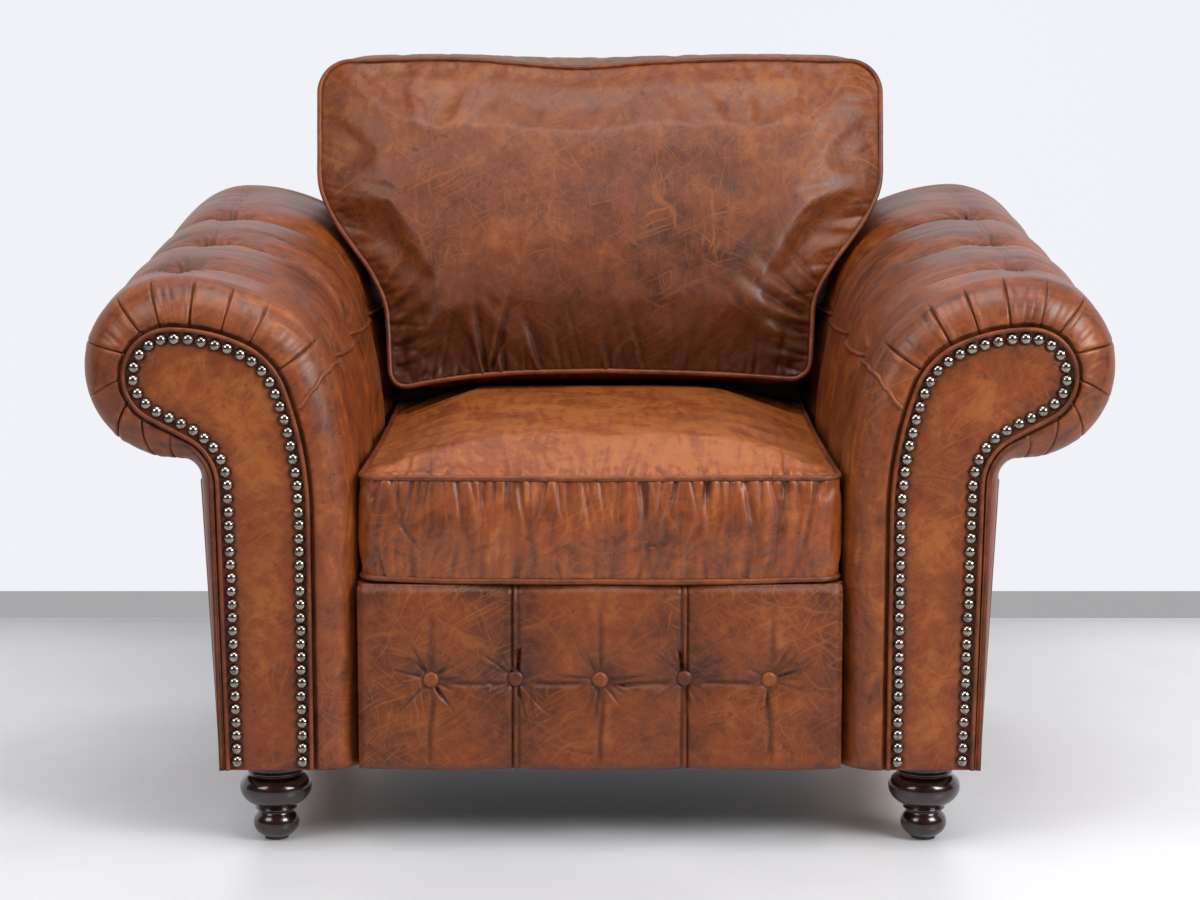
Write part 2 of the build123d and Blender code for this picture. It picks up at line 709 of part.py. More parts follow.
def seat_section(z, inset=0, puff=0, core=0):
    """Plan of the seat cushion at z: sides drawn in, front bulging, corners rounded."""
    half = cushion_half - inset - core + puff
    front = depth(cushion_front_depth) + inset + core - puff
    rear = cushion_rear_y - inset - core
    with BuildSketch(Plane.XY.offset(z)) as section:
        with BuildLine():
            SagittaArc((-half, front), (half, front), -(cushion_front_bulge))
            SagittaArc((half, front), (half, rear), cushion_draw)
            Line((half, rear), (-half, rear))
            SagittaArc((-half, rear), (-half, front), cushion_draw)
        make_face()
        fillet(vertices(), cushion_corner_radius)
    return section.sketch


def seat_form(core=0):
    """Boxing and crown of the seat cushion, drawn inwards by core for what is under the leather."""
    low_z = cushion_bottom_z + core
    high_z = seat_boxing_top_z - core / 2
    crown = seat_crown_rise - core / 2
    with BuildPart() as form:
        middle = seat_section((low_z + high_z) / 2, puff=seat_boxing_puff, core=core)
        loft([seat_section(low_z, core=core), middle, seat_section(high_z, core=core)])
        crown_sections = [seat_section(high_z, core=core)]
        for up, inward in zip(seat_crown_rise_shares, seat_crown_inset_shares):
            inset = (cushion_half - core) * inward
            crown_sections.append(seat_section(high_z + crown * up, inset=inset, core=core))
        loft(crown_sections)
    return form.part


def outline_of(sketch):
    """Outer wire of a section."""
    return sketch.face().outer_wire()


seat_edges = [outline_of(seat_section(z))
              for z in (cushion_bottom_z + cushion_piping_radius, seat_boxing_top_z)]
seat_cords = [tube_along(edge, cushion_piping_radius) for edge in seat_edges]
with BuildPart() as seat_cushion_piping:
    for cord in seat_cords:
        add(cord)
save(seat_cushion_piping.part, "seat_cushion_piping")

zip_z = (cushion_bottom_z + seat_boxing_top_z) / 2
zip_height_span = (zip_z - zip_groove_height / 2, zip_z + zip_groove_height / 2)
with BuildPart() as seat_cushion_cover:
    add(seat_form())
    add(seat_form(core=cushion_wall), mode=Mode.SUBTRACT)
    for edge in seat_edges:
        add(tube_along(edge, cushion_piping_radius + soft_gap), mode=Mode.SUBTRACT)
    add(block((-seat_zip_length / 2, seat_zip_length / 2),
              (cushion_rear_y - zip_groove_depth, cushion_rear_y + overrun), zip_height_span), mode=Mode.SUBTRACT)
save(seat_cushion_cover.part, "seat_cushion_cover")
with BuildPart() as seat_cushion_core:
    add(seat_form(core=cushion_wall + soft_gap))
save(seat_cushion_core.part, "seat_cushion_core")


# Back cushion: a wedge between two raked outlines, wide above the arms, crowned in front
def back_section(plane, rake, bottom_z, inset):
    """Outline of the back cushion in a raked plane, drawn inwards by inset."""
    low_y = along(bottom_z, rake) + inset
    waist_y = along(back_cushion_waist_z, rake) + inset / 2
    wing_y = along(back_cushion_wing_z, rake)
    top_y = along(back_cushion_top_z, rake) - inset
    low_half = back_cushion_half_width - inset
    waist_half = back_cushion_waist_half_width - inset
    wing_half = back_cushion_wing_half_width - inset
    with BuildSketch(plane) as section:
        with BuildLine():
            right_side = [(low_half, low_y), (waist_half, waist_y), (wing_half, wing_y), (wing_half, top_y)]
            Polyline(right_side + [(-x, y) for x, y in reversed(right_side)], close=True)
        make_face()
        fillet(vertices().group_by(Axis.Y)[-1], back_corner_radius)
        fillet(vertices().group_by(Axis.Y)[0], cushion_corner_radius)
        for level in (waist_y, wing_y):
            fillet(vertices().sort_by(lambda corner: abs(corner.Y - level))[:2], back_wing_radius)
    return section.sketch


middle_rake = (back_rake + back_cushion_rake) / 2
back_cushion_rear_depth = back_front_depth - 2 * soft_gap
middle_z = (back_cushion_bottom_front_z + back_bend_z) / 2
middle_depth = (back_cushion_front_depth + back_cushion_rear_depth) / 2
middle_bottom_z = (back_cushion_bottom_front_z + back_cushion_bottom_rear_z) / 2


def back_form(core=0):
    """Boxing and crown of the back cushion, drawn inwards by core for what is under the leather."""
    rear = back_section(raked_plane(back_cushion_rear_depth, back_rake, back_bend_z, core), back_rake,
                        back_cushion_bottom_rear_z, back_cushion_rear_shrink + core)
    middle = back_section(raked_plane(middle_depth, middle_rake, middle_z), middle_rake,
                          middle_bottom_z, back_cushion_draw + core)
    def front(forward, inset):
        plane = raked_plane(back_cushion_front_depth, back_cushion_rake, back_cushion_bottom_front_z, forward)
        return back_section(plane, back_cushion_rake, back_cushion_bottom_front_z, inset + core)
    with BuildPart() as form:
        loft([rear, middle, front(-core / 2, 0)])
        crown = [front(-core / 2, 0)]
        for up, inward in zip(back_crown_rise_shares, back_crown_inset_shares):
            forward = (back_crown_rise - core / 2) * up - core / 2
            crown.append(front(forward, back_cushion_half_width * inward))
        loft(crown)
    return form.part


back_rear_plane = raked_plane(back_cushion_rear_depth, back_rake, back_bend_z, cushion_piping_radius)
back_front_plane = raked_plane(back_cushion_front_depth, back_cushion_rake, back_cushion_bottom_front_z)
rear_outline = back_section(back_rear_plane, back_rake, back_cushion_bottom_rear_z, back_cushion_rear_shrink)
front_outline = back_section(back_front_plane, back_cushion_rake, back_cushion_bottom_front_z, 0)
back_edges = [outline_of(rear_outline), outline_of(front_outline)]
with BuildPart() as back_cushion_piping:
    for edge in back_edges:
        add(tube_along(edge, cushion_piping_radius))
save(back_cushion_piping.part, "back_cushion_piping")

with BuildPart() as back_cushion_core:
    add(back_form(core=cushion_wall + soft_gap))
save(back_cushion_core.part, "back_cushion_core")
zip_centre = Plane(raked_plane(back_cushion_rear_depth, back_rake, back_bend_z).location
                   * Location((0, along(back_zip_z, back_rake), 0)))
with BuildPart() as back_cushion_cover:
    add(back_form())
    add(back_form(core=cushion_wall), mode=Mode.SUBTRACT)
    for edge in back_edges:
        add(tube_along(edge, cushion_piping_radius + soft_gap), mode=Mode.SUBTRACT)
    with BuildSketch(zip_centre):
        Rectangle(back_zip_length, zip_groove_height)
    extrude(amount=zip_groove_depth, mode=Mode.SUBTRACT)
save(back_cushion_cover.part, "back_cushion_cover")


# Zips: a tape at the bottom of each groove and a slider that runs on it, from one end to the other
def zip_pieces(plane, length, name):
    """Tape and slider in a groove whose mouth is in the given plane, open against its normal."""
    with BuildPart() as tape:
        with BuildSketch(plane.offset(zip_groove_depth - soft_gap - zip_tape_thickness)):
            Rectangle(length - 2 * soft_gap, zip_groove_height - 2 * soft_gap)
        extrude(amount=zip_tape_thickness)
    save(tape.part, f"{name}_cushion_zip")
    slider_x = (slider_length - length) / 2 + tab_length + soft_gap
    slider_face = zip_groove_depth - 2 * soft_gap - zip_tape_thickness - slider_thickness
    with BuildPart() as slider:
        with BuildSketch(plane.offset(slider_face)):
            with Locations((slider_x, 0)):
                RectangleRounded(slider_length, slider_height, slider_height / 4)
        extrude(amount=slider_thickness)
        with BuildSketch(plane.offset(slider_face)):
            with Locations((slider_x - (slider_length + tab_length) / 2 + tab_thickness, 0)):
                RectangleRounded(tab_length, tab_height, tab_height / 3)
        extrude(amount=tab_thickness)
    save(slider.part, f"{name}_zip_slider")


seat_zip_plane = Plane(origin=(0, cushion_rear_y, zip_z), x_dir=(1, 0, 0), z_dir=(0, -1, 0))
zip_pieces(seat_zip_plane, seat_zip_length, "seat")
zip_pieces(zip_centre, back_zip_length, "back")

# Feet: turned profile, dark collar, hanger bolt up into the base board, nut and glide
with BuildPart() as foot:
    with BuildSketch(Plane.XZ):
        with BuildLine():
            sole = Line((0, glide_height), (foot_base_radius, glide_height))
            low = ThreePointArc(sole @ 1, (small_bulb_radius, small_bulb_z), (waist_radius, waist_z))
            high = ThreePointArc(low @ 1, (big_bulb_radius, big_bulb_z), (foot_neck_radius, foot_neck_z))
            neck = Line(high @ 1, (foot_neck_radius, leg_height - collar_height))
            top = Line(neck @ 1, (0, leg_height - collar_height))
            Line(top @ 1, sole @ 0)
        make_face()
    revolve()
    with Locations((0, 0, leg_height - collar_height)):
        Cylinder(hanger_radius, 2 * hanger_in_foot, mode=Mode.SUBTRACT)
foot_names = ("foot_front_right", "foot_rear_right", "foot_front_left", "foot_rear_left")
for (x, y), name in zip(foot_spots, foot_names):
    with BuildPart() as placed_foot:
        with Locations((x, y)):
            add(foot.part)
    save(placed_foot.part, name)

with BuildPart() as foot_collars:
    with Locations([(x, y, leg_height - collar_height / 2) for x, y in foot_spots]):
        Cylinder(collar_radius, collar_height)
        Cylinder(hanger_radius, collar_height, mode=Mode.SUBTRACT)
    fillet(edges().filter_by(GeomType.CIRCLE).filter_by(lambda edge: edge.radius > hanger_radius + soft_gap),
           collar_height / 4)
save(foot_collars.part, "foot_collars")

nut_z = base_board_top_z
with BuildPart() as foot_bolts:
    bolt_top_z = nut_z + nut_flange_height
    bolt_low_z = leg_height - collar_height - hanger_in_foot
    with Locations([(x, y, (bolt_top_z + bolt_low_z) / 2) for x, y in foot_spots]):
        Cylinder(hanger_radius, bolt_top_z - bolt_low_z)
save(foot_bolts.part, "foot_bolts")
with BuildPart() as foot_nuts:
    with Locations([(x, y, nut_z + nut_flange_height / 2) for x, y in foot_spots]):
        Cylinder(nut_flange_radius, nut_flange_height)
        Cylinder(hanger_radius, nut_flange_height, mode=Mode.SUBTRACT)
save(foot_nuts.part, "foot_nuts")
with BuildPart() as foot_glides:
    with Locations([(x, y, glide_height / 2) for x, y in foot_spots]):
        Cylinder(glide_radius, glide_height)
save(foot_glides.part, "foot_glides")
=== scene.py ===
"""Looks of a leather armchair with rolled arms, nailed facings, loose cushions and turned feet."""

import math
from contextlib import contextmanager

import bmesh
import bpy
import numpy as np
from mathutils import Euler, Matrix, Vector
from mathutils.geometry import delaunay_2d_cdt


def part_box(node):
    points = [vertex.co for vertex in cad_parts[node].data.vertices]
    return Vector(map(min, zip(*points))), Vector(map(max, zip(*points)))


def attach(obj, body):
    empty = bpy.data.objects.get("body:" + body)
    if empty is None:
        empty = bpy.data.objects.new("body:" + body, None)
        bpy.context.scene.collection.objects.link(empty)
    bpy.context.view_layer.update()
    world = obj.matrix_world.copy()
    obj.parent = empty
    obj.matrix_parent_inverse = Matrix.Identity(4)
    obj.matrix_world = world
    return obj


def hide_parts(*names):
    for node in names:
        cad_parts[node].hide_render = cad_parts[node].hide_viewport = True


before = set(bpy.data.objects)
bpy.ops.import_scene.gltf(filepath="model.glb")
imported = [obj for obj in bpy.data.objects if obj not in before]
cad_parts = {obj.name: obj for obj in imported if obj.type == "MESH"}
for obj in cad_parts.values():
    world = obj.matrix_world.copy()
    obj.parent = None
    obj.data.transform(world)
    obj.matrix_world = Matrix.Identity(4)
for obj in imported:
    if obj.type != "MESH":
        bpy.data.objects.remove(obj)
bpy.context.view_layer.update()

bl_info = {
    "name": "Rolled-arm leather armchair",
    "version": (1, 0, 0),
    "blender": (4, 5, 0),
    "location": "View3D > Sidebar > Armchair",
    "description": "Upholstery, nails and feet of a rolled-arm leather armchair around its solid frame",
    "category": "Object",
}

# Places shared with the solid parts, in metres
FRONT_Y = -0.428
ARM_DEPTH = 0.784
ARM_RISE = 0.0875
RUFFLE_DEPTH = 0.045
SEAM_DEPTHS = (0.135, 0.333, 0.539)
REAR_ROUND = 0.020
LEG_HEIGHT = 0.097
FACING_RECESS = 0.003
SEAT_TOP_PIPING_Z = 0.440
DECK_TOP_Z = 0.316
CUSHION_HALF = 0.277
CUSHION_HALF_DEPTH = 0.342
CUSHION_LOW_Z = 0.3198
CUSHION_BOW = 0.009
CUSHION_RECESS = 0.012
PIPING_RADIUS = 0.0035
CUSHION_REAR_Y = 0.2677
BUTTON_Z = 0.204


def depth(distance):
    """Place along Y of a distance behind the facings' front."""
    return FRONT_Y + distance


# Numbers for shapes

def ripple(x, y, z, seed=0):
    """Smooth noise from -1 to 1 with a spacing of 1, the same at every run."""
    x, y, z = (np.asarray(value, float) for value in np.broadcast_arrays(x, y, z))
    cells = [np.floor(value).astype(np.int64) for value in (x, y, z)]
    parts = [value - cell for value, cell in zip((x, y, z), cells)]
    parts = [part * part * part * (part * (part * 6 - 15) + 10) for part in parts]
    total = np.zeros_like(x)
    for corner in range(8):
        steps = [(corner >> axis) & 1 for axis in range(3)]
        mixed = ((cells[0] + steps[0]) * 73856093) ^ ((cells[1] + steps[1]) * 19349663) \
            ^ ((cells[2] + steps[2]) * 83492791) ^ (seed * 2654435761)
        mixed = (mixed ^ (mixed >> 13)) * 1274126177
        mixed = (mixed ^ (mixed >> 16)) & 0xFFFF
        weight = np.ones_like(x)
        for part, step in zip(parts, steps):
            weight = weight * (part if step else 1 - part)
        total = total + weight * (mixed / 32767.5 - 1)
    return total


def smooth_step(value, low, high):
    """0 below low, 1 above high and a soft slope between them."""
    share = np.clip((value - low) / (high - low), 0, 1)
    return share * share * (3 - 2 * share)


def window(value, start, rise, fall, end):
    """1 from rise to fall, and 0 before start and after the end."""
    return smooth_step(value, start, rise) * (1 - smooth_step(value, fall, end))


def bell(distance, width):
    """1 at no distance, falling away over width."""
    return np.exp(-(distance / width) ** 2)


def to_line(x, y, points):
    """Distance of every point to a chain of points, and how far along the chain it is, from 0 to 1."""
    lengths = [math.dist(a, b) for a, b in zip(points, points[1:])]
    total, run = sum(lengths), 0.0
    best, place = np.full(np.shape(x), 1e9), np.zeros(np.shape(x))
    for (ax, ay), (bx, by), length in zip(points, points[1:], lengths):
        share = np.clip(((x - ax) * (bx - ax) + (y - ay) * (by - ay)) / length ** 2, 0, 1)
        away = np.hypot(x - ax - share * (bx - ax), y - ay - share * (by - ay))
        nearer = away < best
        best = np.where(nearer, away, best)
        place = np.where(nearer, (run + share * length) / total, place)
        run += length
    return best, place


def crease(x, y, points, deep, wide):
    """A fold along a chain of points: a valley that fades at both ends, between two soft ridges."""
    away, place = to_line(x, y, points)
    fade = window(place, -0.05, 0.40, 0.60, 1.02)
    return fade * deep * (0.45 * bell(away, wide * 2.6) - 1.45 * bell(away, wide))


def pull(x, y, start, end, deep, wide, bend=0.0):
    """Fold pulled from a seam: hard and narrow where it starts, broad and faint where it ends."""
    run = np.array(end) - np.array(start)
    length = float(np.hypot(*run))
    ahead = ((x - start[0]) * run[0] + (y - start[1]) * run[1]) / length ** 2
    aside = (-(x - start[0]) * run[1] + (y - start[1]) * run[0]) / length
    aside = aside - bend * length * ahead * (1 - ahead)
    broad = wide * (0.45 + 1.1 * np.clip(ahead, 0, 1))
    fade = smooth_step(ahead, -0.06, 0.10) * np.clip(1 - ahead, 0, 1) ** 1.2
    return deep * fade * (0.75 * bell(aside - 1.9 * broad, 1.3 * broad) - bell(aside, broad))


def gathers(along, away, places, length, deep, wide, seed):
    """Puckers that run off a seam: along is measured on the seam and away from it."""
    total = np.zeros(np.shape(along))
    chance = np.random.default_rng(seed)
    for place in places:
        reach = length * chance.uniform(0.55, 1.35)
        lean = chance.uniform(-0.28, 0.28)
        width = wide * chance.uniform(0.7, 1.4)
        across = along - place - lean * away
        fade = bell(np.maximum(away, 0), reach) * smooth_step(away, -0.0005, 0.004) * chance.uniform(0.5,
                                                                                                     1.25)
        total += deep * fade * (0.5 * bell(across, width * 2.3) - bell(across, width))
    return total


def spaced(start, end, pitch, seed):
    """Places from start to end about a pitch apart, unevenly."""
    chance = np.random.default_rng(seed)
    count = max(1, round((end - start) / pitch))
    return [start + (end - start) * (step + 0.5 + chance.uniform(-0.3, 0.3)) / count for step in range(count)]


def puckers(along, away, ends, pitch, length, deep, wide, seed):
    """Gathers about a pitch apart between two ends of a seam."""
    return gathers(along, away, spaced(*ends, pitch, seed), length, deep, wide, seed + 1)


# Meshes

def deselect():
    """Leaves nothing selected."""
    for item in list(bpy.context.selected_objects):
        item.select_set(False)


def only(piece):
    """Makes one piece selected and active."""
    deselect()
    piece.select_set(True)
    bpy.context.view_layer.objects.active = piece
    return piece


def named(name):
    """Names what was just added."""
    piece = bpy.context.object
    piece.name = name
    piece.data.name = name
    return piece


def settle(piece):
    """Puts a piece's place, turn and size into its mesh."""
    only(piece)
    bpy.ops.object.transform_apply(location=True, rotation=True, scale=True)
    return piece


def add_modifier(piece, kind, **values):
    """Adds a modifier with its values and applies it."""
    only(piece)
    modifier = piece.modifiers.new(kind.lower(), kind)
    for key, value in values.items():
        setattr(modifier, key, value)
    bpy.ops.object.modifier_apply(modifier=modifier.name)
    return piece


def mesh_piece(name, points, faces):
    """A piece from points and faces."""
    mesh = bpy.data.meshes.new(name)
    mesh.from_pydata([tuple(point) for point in points], [], [tuple(face) for face in faces])
    mesh.update()
    piece = bpy.data.objects.new(name, mesh)
    bpy.context.scene.collection.objects.link(piece)
    return piece


def smooth(piece, angle=180):
    """Shades a piece smooth, with an edge kept where it turns by more than the angle."""
    only(piece)
    if angle >= 180:
        bpy.ops.object.shade_smooth()
    else:
        bpy.ops.object.shade_smooth_by_angle(angle=math.radians(angle))
    return piece


@contextmanager
def edit_mode(piece):
    """Edit mode with the whole of a piece selected."""
    only(piece)
    bpy.ops.object.mode_set(mode="EDIT")
    bpy.ops.mesh.select_all(action="SELECT")
    yield
    bpy.ops.object.mode_set(mode="OBJECT")


def outwards(piece):
    """Joins points that meet and turns every face outwards."""
    with edit_mode(piece):
        bpy.ops.mesh.remove_doubles(threshold=1e-6)
        bpy.ops.mesh.normals_make_consistent(inside=False)
    return piece


def coordinates(piece):
    """A mesh's points as rows of x, y and z."""
    places = np.zeros(len(piece.data.vertices) * 3)
    piece.data.vertices.foreach_get("co", places)
    return places.reshape(-1, 3)


def place_points(piece, places):
    """Sets a mesh's points."""
    piece.data.vertices.foreach_set("co", np.ascontiguousarray(places, np.float32).ravel())
    piece.data.update()


def point_normals(piece):
    """A mesh's outward direction at each point."""
    normals = np.zeros(len(piece.data.vertices) * 3)
    piece.data.vertices.foreach_get("normal", normals)
    return normals.reshape(-1, 3)


def turn_faces(piece, way):
    """Turns a piece's faces over where most of them look away from the given way."""
    if float(np.sum(point_normals(piece) * way)) < 0:
        with edit_mode(piece):
            bpy.ops.mesh.flip_normals()


def thicken(piece, thickness, offset=-1):
    """Gives an open surface a thickness."""
    return add_modifier(piece, "SOLIDIFY", thickness=thickness, offset=offset, use_even_offset=False)


def grid_piece(name, points, way):
    """A grid over rows of points, its faces turned the given way."""
    deselect()
    bpy.ops.mesh.primitive_grid_add(x_subdivisions=points.shape[1] - 1, y_subdivisions=points.shape[0] - 1,
                                    size=1)
    piece = named(name)
    place_points(piece, points.reshape(-1, 3))
    turn_faces(piece, way)
    return piece


def hand(side):
    """The word for a side: 1 is the right and -1 the left."""
    return "right" if side > 0 else "left"


def keep_number(piece, name, values):
    """Stores a number at each point."""
    attribute = piece.data.attributes.get(name) or piece.data.attributes.new(name, "FLOAT", "POINT")
    attribute.data.foreach_set("value", np.asarray(values, np.float32).ravel())


def keep_masks(piece, dark_and_shade, wear_and_highlight):
    """Stores where the leather is darkened, with painted shade in its creases and hollows, and where it is
    paled by wear and painted highlight, for its finish to read.
    """
    keep_number(piece, "dark_and_shade", np.clip(dark_and_shade, 0, 1))
    keep_number(piece, "wear_and_highlight", np.clip(wear_and_highlight, 0, 1))


def box_lattice(counts):
    """Points on a box's surface, from 0 to 1 on each axis, and its outward faces."""
    stride = np.array([(counts[1] + 1) * (counts[2] + 1), counts[2] + 1, 1])
    triples, faces, start = [], [], 0
    for axis in range(3):
        a, b = (axis + 1) % 3, (axis + 2) % 3
        for end in (0, counts[axis]):
            grid = np.zeros((counts[a] + 1, counts[b] + 1, 3), np.int64)
            along_a, along_b = np.arange(counts[a] + 1), np.arange(counts[b] + 1)
            grid[..., a], grid[..., b] = np.meshgrid(along_a, along_b, indexing="ij")
            grid[..., axis] = end
            number = start + np.arange(grid[..., 0].size).reshape(grid.shape[:2])
            corners = [number[:-1, :-1], number[1:, :-1], number[1:, 1:], number[:-1, 1:]]
            faces.append(np.stack(corners if end else corners[::-1], -1).reshape(-1, 4))
            triples.append(grid.reshape(-1, 3))
            start += grid[..., 0].size
    triples = np.concatenate(triples)
    _, first, where = np.unique(triples @ stride, return_index=True, return_inverse=True)
    return triples[first] / np.array(counts, float), where.reshape(-1)[np.concatenate(faces)]


def rounded(across, up, half, top, bottom, radius_top, radius_bottom):
    """Moves points of an upright rectangle into one with round corners."""
    for limit, sign, radius in ((top, 1, radius_top), (bottom, -1, radius_bottom)):
        out = np.abs(across) - (half - radius)
        beyond = sign * (up - limit) + radius
        inside = (out > 1e-9) & (beyond > 1e-9)
        reach = np.where(inside, np.maximum(out, beyond) / np.maximum(np.hypot(out, beyond), 1e-9), 1)
        across = np.where(inside, np.sign(across) * (half - radius + out * reach), across)
        up = np.where(inside, limit + sign * (beyond * reach - radius), up)
    return across, up


def tube(name, points, radius, closed=False, sides=3):
    """A round cord through points, as a mesh with closed ends."""
    curve = bpy.data.curves.new(name, "CURVE")
    curve.dimensions = "3D"
    curve.bevel_depth = radius
    curve.bevel_resolution = sides
    curve.use_fill_caps = not closed
    spline = curve.splines.new("POLY")
    spline.points.add(len(points) - 1)
    for spot, point in zip(spline.points, points):
        spot.co = (*point, 1)
    spline.use_cyclic_u = closed
    piece = bpy.data.objects.new(name, curve)
    bpy.context.scene.collection.objects.link(piece)
    only(piece)
    bpy.ops.object.convert(target="MESH")
    piece = named(name)
    outwards(piece)
    return smooth(piece, 60)


def join(pieces, name):
    """Joins pieces into one."""
    deselect()
    for piece in pieces:
        piece.select_set(True)
    bpy.context.view_layer.objects.active = pieces[0]
    bpy.ops.object.join()
    return named(name)


def finer(piece, *values):
    """Divides every face in four; gives the values at the new points, then the points' places."""
    for number, value in enumerate(values):
        keep_number(piece, f"value_{number}", value)
    add_modifier(piece, "SUBSURF", levels=1, render_levels=1)
    found = []
    for number in range(len(values)):
        attribute = piece.data.attributes[f"value_{number}"]
        numbers = np.zeros(len(piece.data.vertices), np.float32)
        attribute.data.foreach_get("value", numbers)
        found.append(numbers.astype(float))
        piece.data.attributes.remove(attribute)
    return *found, *coordinates(piece).T


def swell(piece, pinned, pressure, stretch, cap, steps=12):
    """Fills a closed cushion with air as cloth, seams held and each point kept within cap of its start."""
    start = coordinates(piece)
    scene = bpy.context.scene
    held = piece.vertex_groups.new(name="seams")
    held.add([int(number) for number in np.nonzero(pinned)[0]], 1.0, "REPLACE")
    modifier = piece.modifiers.new("swelling", "CLOTH")
    cloth = modifier.settings
    cloth.quality = 5
    cloth.mass = 0.4
    cloth.tension_stiffness = cloth.compression_stiffness = 18
    cloth.shear_stiffness = 8
    cloth.bending_stiffness = 3
    cloth.effector_weights.gravity = 0
    cloth.use_pressure = True
    cloth.uniform_pressure_force = pressure
    cloth.vertex_group_mass = "seams"
    cloth.shrink_min = -stretch
    modifier.collision_settings.use_collision = False
    modifier.point_cache.frame_start = 1
    modifier.point_cache.frame_end = steps
    for number in range(1, steps + 1):
        scene.frame_set(number)
    found = piece.evaluated_get(bpy.context.evaluated_depsgraph_get())
    end = np.zeros(len(found.data.vertices) * 3)
    found.data.vertices.foreach_get("co", end)
    moved = end.reshape(-1, 3) - start
    far = np.linalg.norm(moved, axis=1, keepdims=True)
    moved = moved * np.minimum(1, cap / np.maximum(far, 1e-9))
    piece.modifiers.remove(modifier)
    piece.vertex_groups.remove(held)
    place_points(piece, start + moved)
    scene.frame_set(1)
    return piece


# The rolled arm's outline, drawn as the solid part draws it

OUTLINE_COUNTS = (34, 34, 56, 70, 100, 92, 12, 14, 14)
OUTLINE_LENGTHS = (0.299, 0.171, 0.110, 0.109, 0.162, 0.162, 0.049, 0.060, 0.470)
PLEATS = {2: (0.29, 0.92), 3: (0.33, 0.75), 4: (0.15, 0.44, 0.83), 5: (0.23, 0.59, 0.90), 6: (0.62,)}


def crowded(count, places, width):
    """Steps along a run, from 0 to 1, that stand closer together round the given places."""
    fine = np.linspace(0, 1, 2001)
    crowd = 1 + 3.4 * sum((bell(fine - place, width) for place in places), 0 * fine)
    total = np.concatenate([[0], np.cumsum(crowd[1:] + crowd[:-1])])
    return np.interp(np.arange(1, count + 1) / count, total / total[-1], fine)


OUTLINE_STEPS = tuple(crowded(count, PLEATS.get(number, ()), 0.0040 / length)
                      for number, (count, length) in enumerate(zip(OUTLINE_COUNTS, OUTLINE_LENGTHS)))


def even_steps(*counts):
    """Even steps from 0 to 1 along each run of the outline."""
    return [np.arange(1, count + 1) / count for count in counts]


def arm_outline(share, inset, lift, bottom=LEG_HEIGHT, runs=OUTLINE_STEPS):
    """Points (x, z) along the outline, a column for each share, inset and lift."""
    given = np.broadcast_arrays(share, inset, lift)
    share, inset, lift = (np.atleast_1d(np.asarray(value, float)) for value in given)

    def between(facing_value, arm_value):
        return facing_value + (arm_value - facing_value) * share

    x, z = between(0.332, 0.281) + inset, np.full_like(share, bottom)
    heading = np.full_like(share, math.pi / 2)
    points = [np.stack([x, z])]

    def line(length, steps):
        nonlocal x, z
        for step in steps:
            gone = length * step
            points.append(np.stack([x + np.cos(heading) * gone, z + np.sin(heading) * gone]))
        x, z = points[-1]

    def arc(radius, turn, steps):
        """Positive turns go to the right, over the top."""
        nonlocal x, z, heading
        side = np.sign(turn)
        centre_x, centre_z = x + side * radius * np.sin(heading), z - side * radius * np.cos(heading)
        for step in steps:
            now = heading - turn * step
            reach = side * radius
            points.append(np.stack([centre_x - reach * np.sin(now), centre_z + reach * np.cos(now)]))
        heading = heading - turn
        x, z = points[-1]

    turn_over = np.radians(between(152, 177)) / 2
    line(0.396 + lift - bottom, runs[0])
    arc(between(0.439, 0.490) - inset, np.radians(20) * np.ones_like(share), runs[1])
    arc(between(0.089, 0.140) - inset, np.radians(45) * np.ones_like(share), runs[2])
    arc(between(0.199, 0.250) - inset, np.radians(25) * np.ones_like(share), runs[3])
    arc(between(0.057, 0.105) - inset, turn_over, runs[4])
    arc(between(0.057, 0.105) - inset, turn_over, runs[5])
    line(between(0.0487, 0.014), runs[6])
    arc(between(0.060, 0.020) + inset, -np.radians(between(61, 84.4)), runs[7])
    line((z - bottom) / -np.sin(heading), runs[8])
    points = np.stack(points)
    return points[:, 0], points[:, 1]


def arm_rows():
    """Depths of the arm's rows: close together at the ruffle and seams, and what share and inset each has."""
    rows = [(0.009, 0.0, 0.0005), (0.0035, 0.0, 0.0)]
    for angle in np.linspace(0, 90, 25):
        rows.append((RUFFLE_DEPTH * (1 - math.cos(math.radians(angle))), math.sin(math.radians(angle)), 0.0))
    bounds = [RUFFLE_DEPTH, *SEAM_DEPTHS, ARM_DEPTH - REAR_ROUND]
    for number, (start, end) in enumerate(zip(bounds, bounds[1:])):
        places, step = [0.0], 0.0011
        while places[-1] < (end - start) / 2:
            places.append(places[-1] + step)
            step = min(step * 1.32, 0.0066)
        places = [place / places[-1] * (end - start) / 2 for place in places]
        both = places + [end - start - place for place in reversed(places[:-1])]
        for place in both[1:]:
            share = place / (end - start)
            inset = abs(2 * share - 1) ** 2.7
            if (number == 0 and share < 0.5) or (number == len(bounds) - 2 and share > 0.5):
                inset = 0
            rows.append((start + place, 1.0, 0.015 * inset))
    for angle in (15, 30, 45, 60, 75, 90):
        turn = math.radians(angle)
        rows.append((ARM_DEPTH - REAR_ROUND * (1 - math.sin(turn)), 1.0, 0.009 * (1 - math.cos(turn))))
    rows.append((ARM_DEPTH, 1.0, 0.0122))
    rows.append((ARM_DEPTH - 0.004, 1.0, 0.0124))
    return np.array(rows).T


def arm_surface():
    """The arm's rows of points without folds, its outward directions, and lengths along each row."""
    depths, share, inset = arm_rows()
    x, z = arm_outline(share, inset, depths * ARM_RISE * share)
    y = np.broadcast_to(depth(depths), x.shape)
    places = np.stack([x, y, z], -1)
    down = np.gradient(places, axis=0)
    back = np.gradient(places, axis=1)
    normals = np.cross(down, back)
    normals /= np.maximum(np.linalg.norm(normals, axis=2, keepdims=True), 1e-12)
    run = np.zeros(x.shape)
    run[1:] = np.cumsum(np.linalg.norm(np.diff(places, axis=0), axis=2), axis=0)
    return places, normals, run, depths


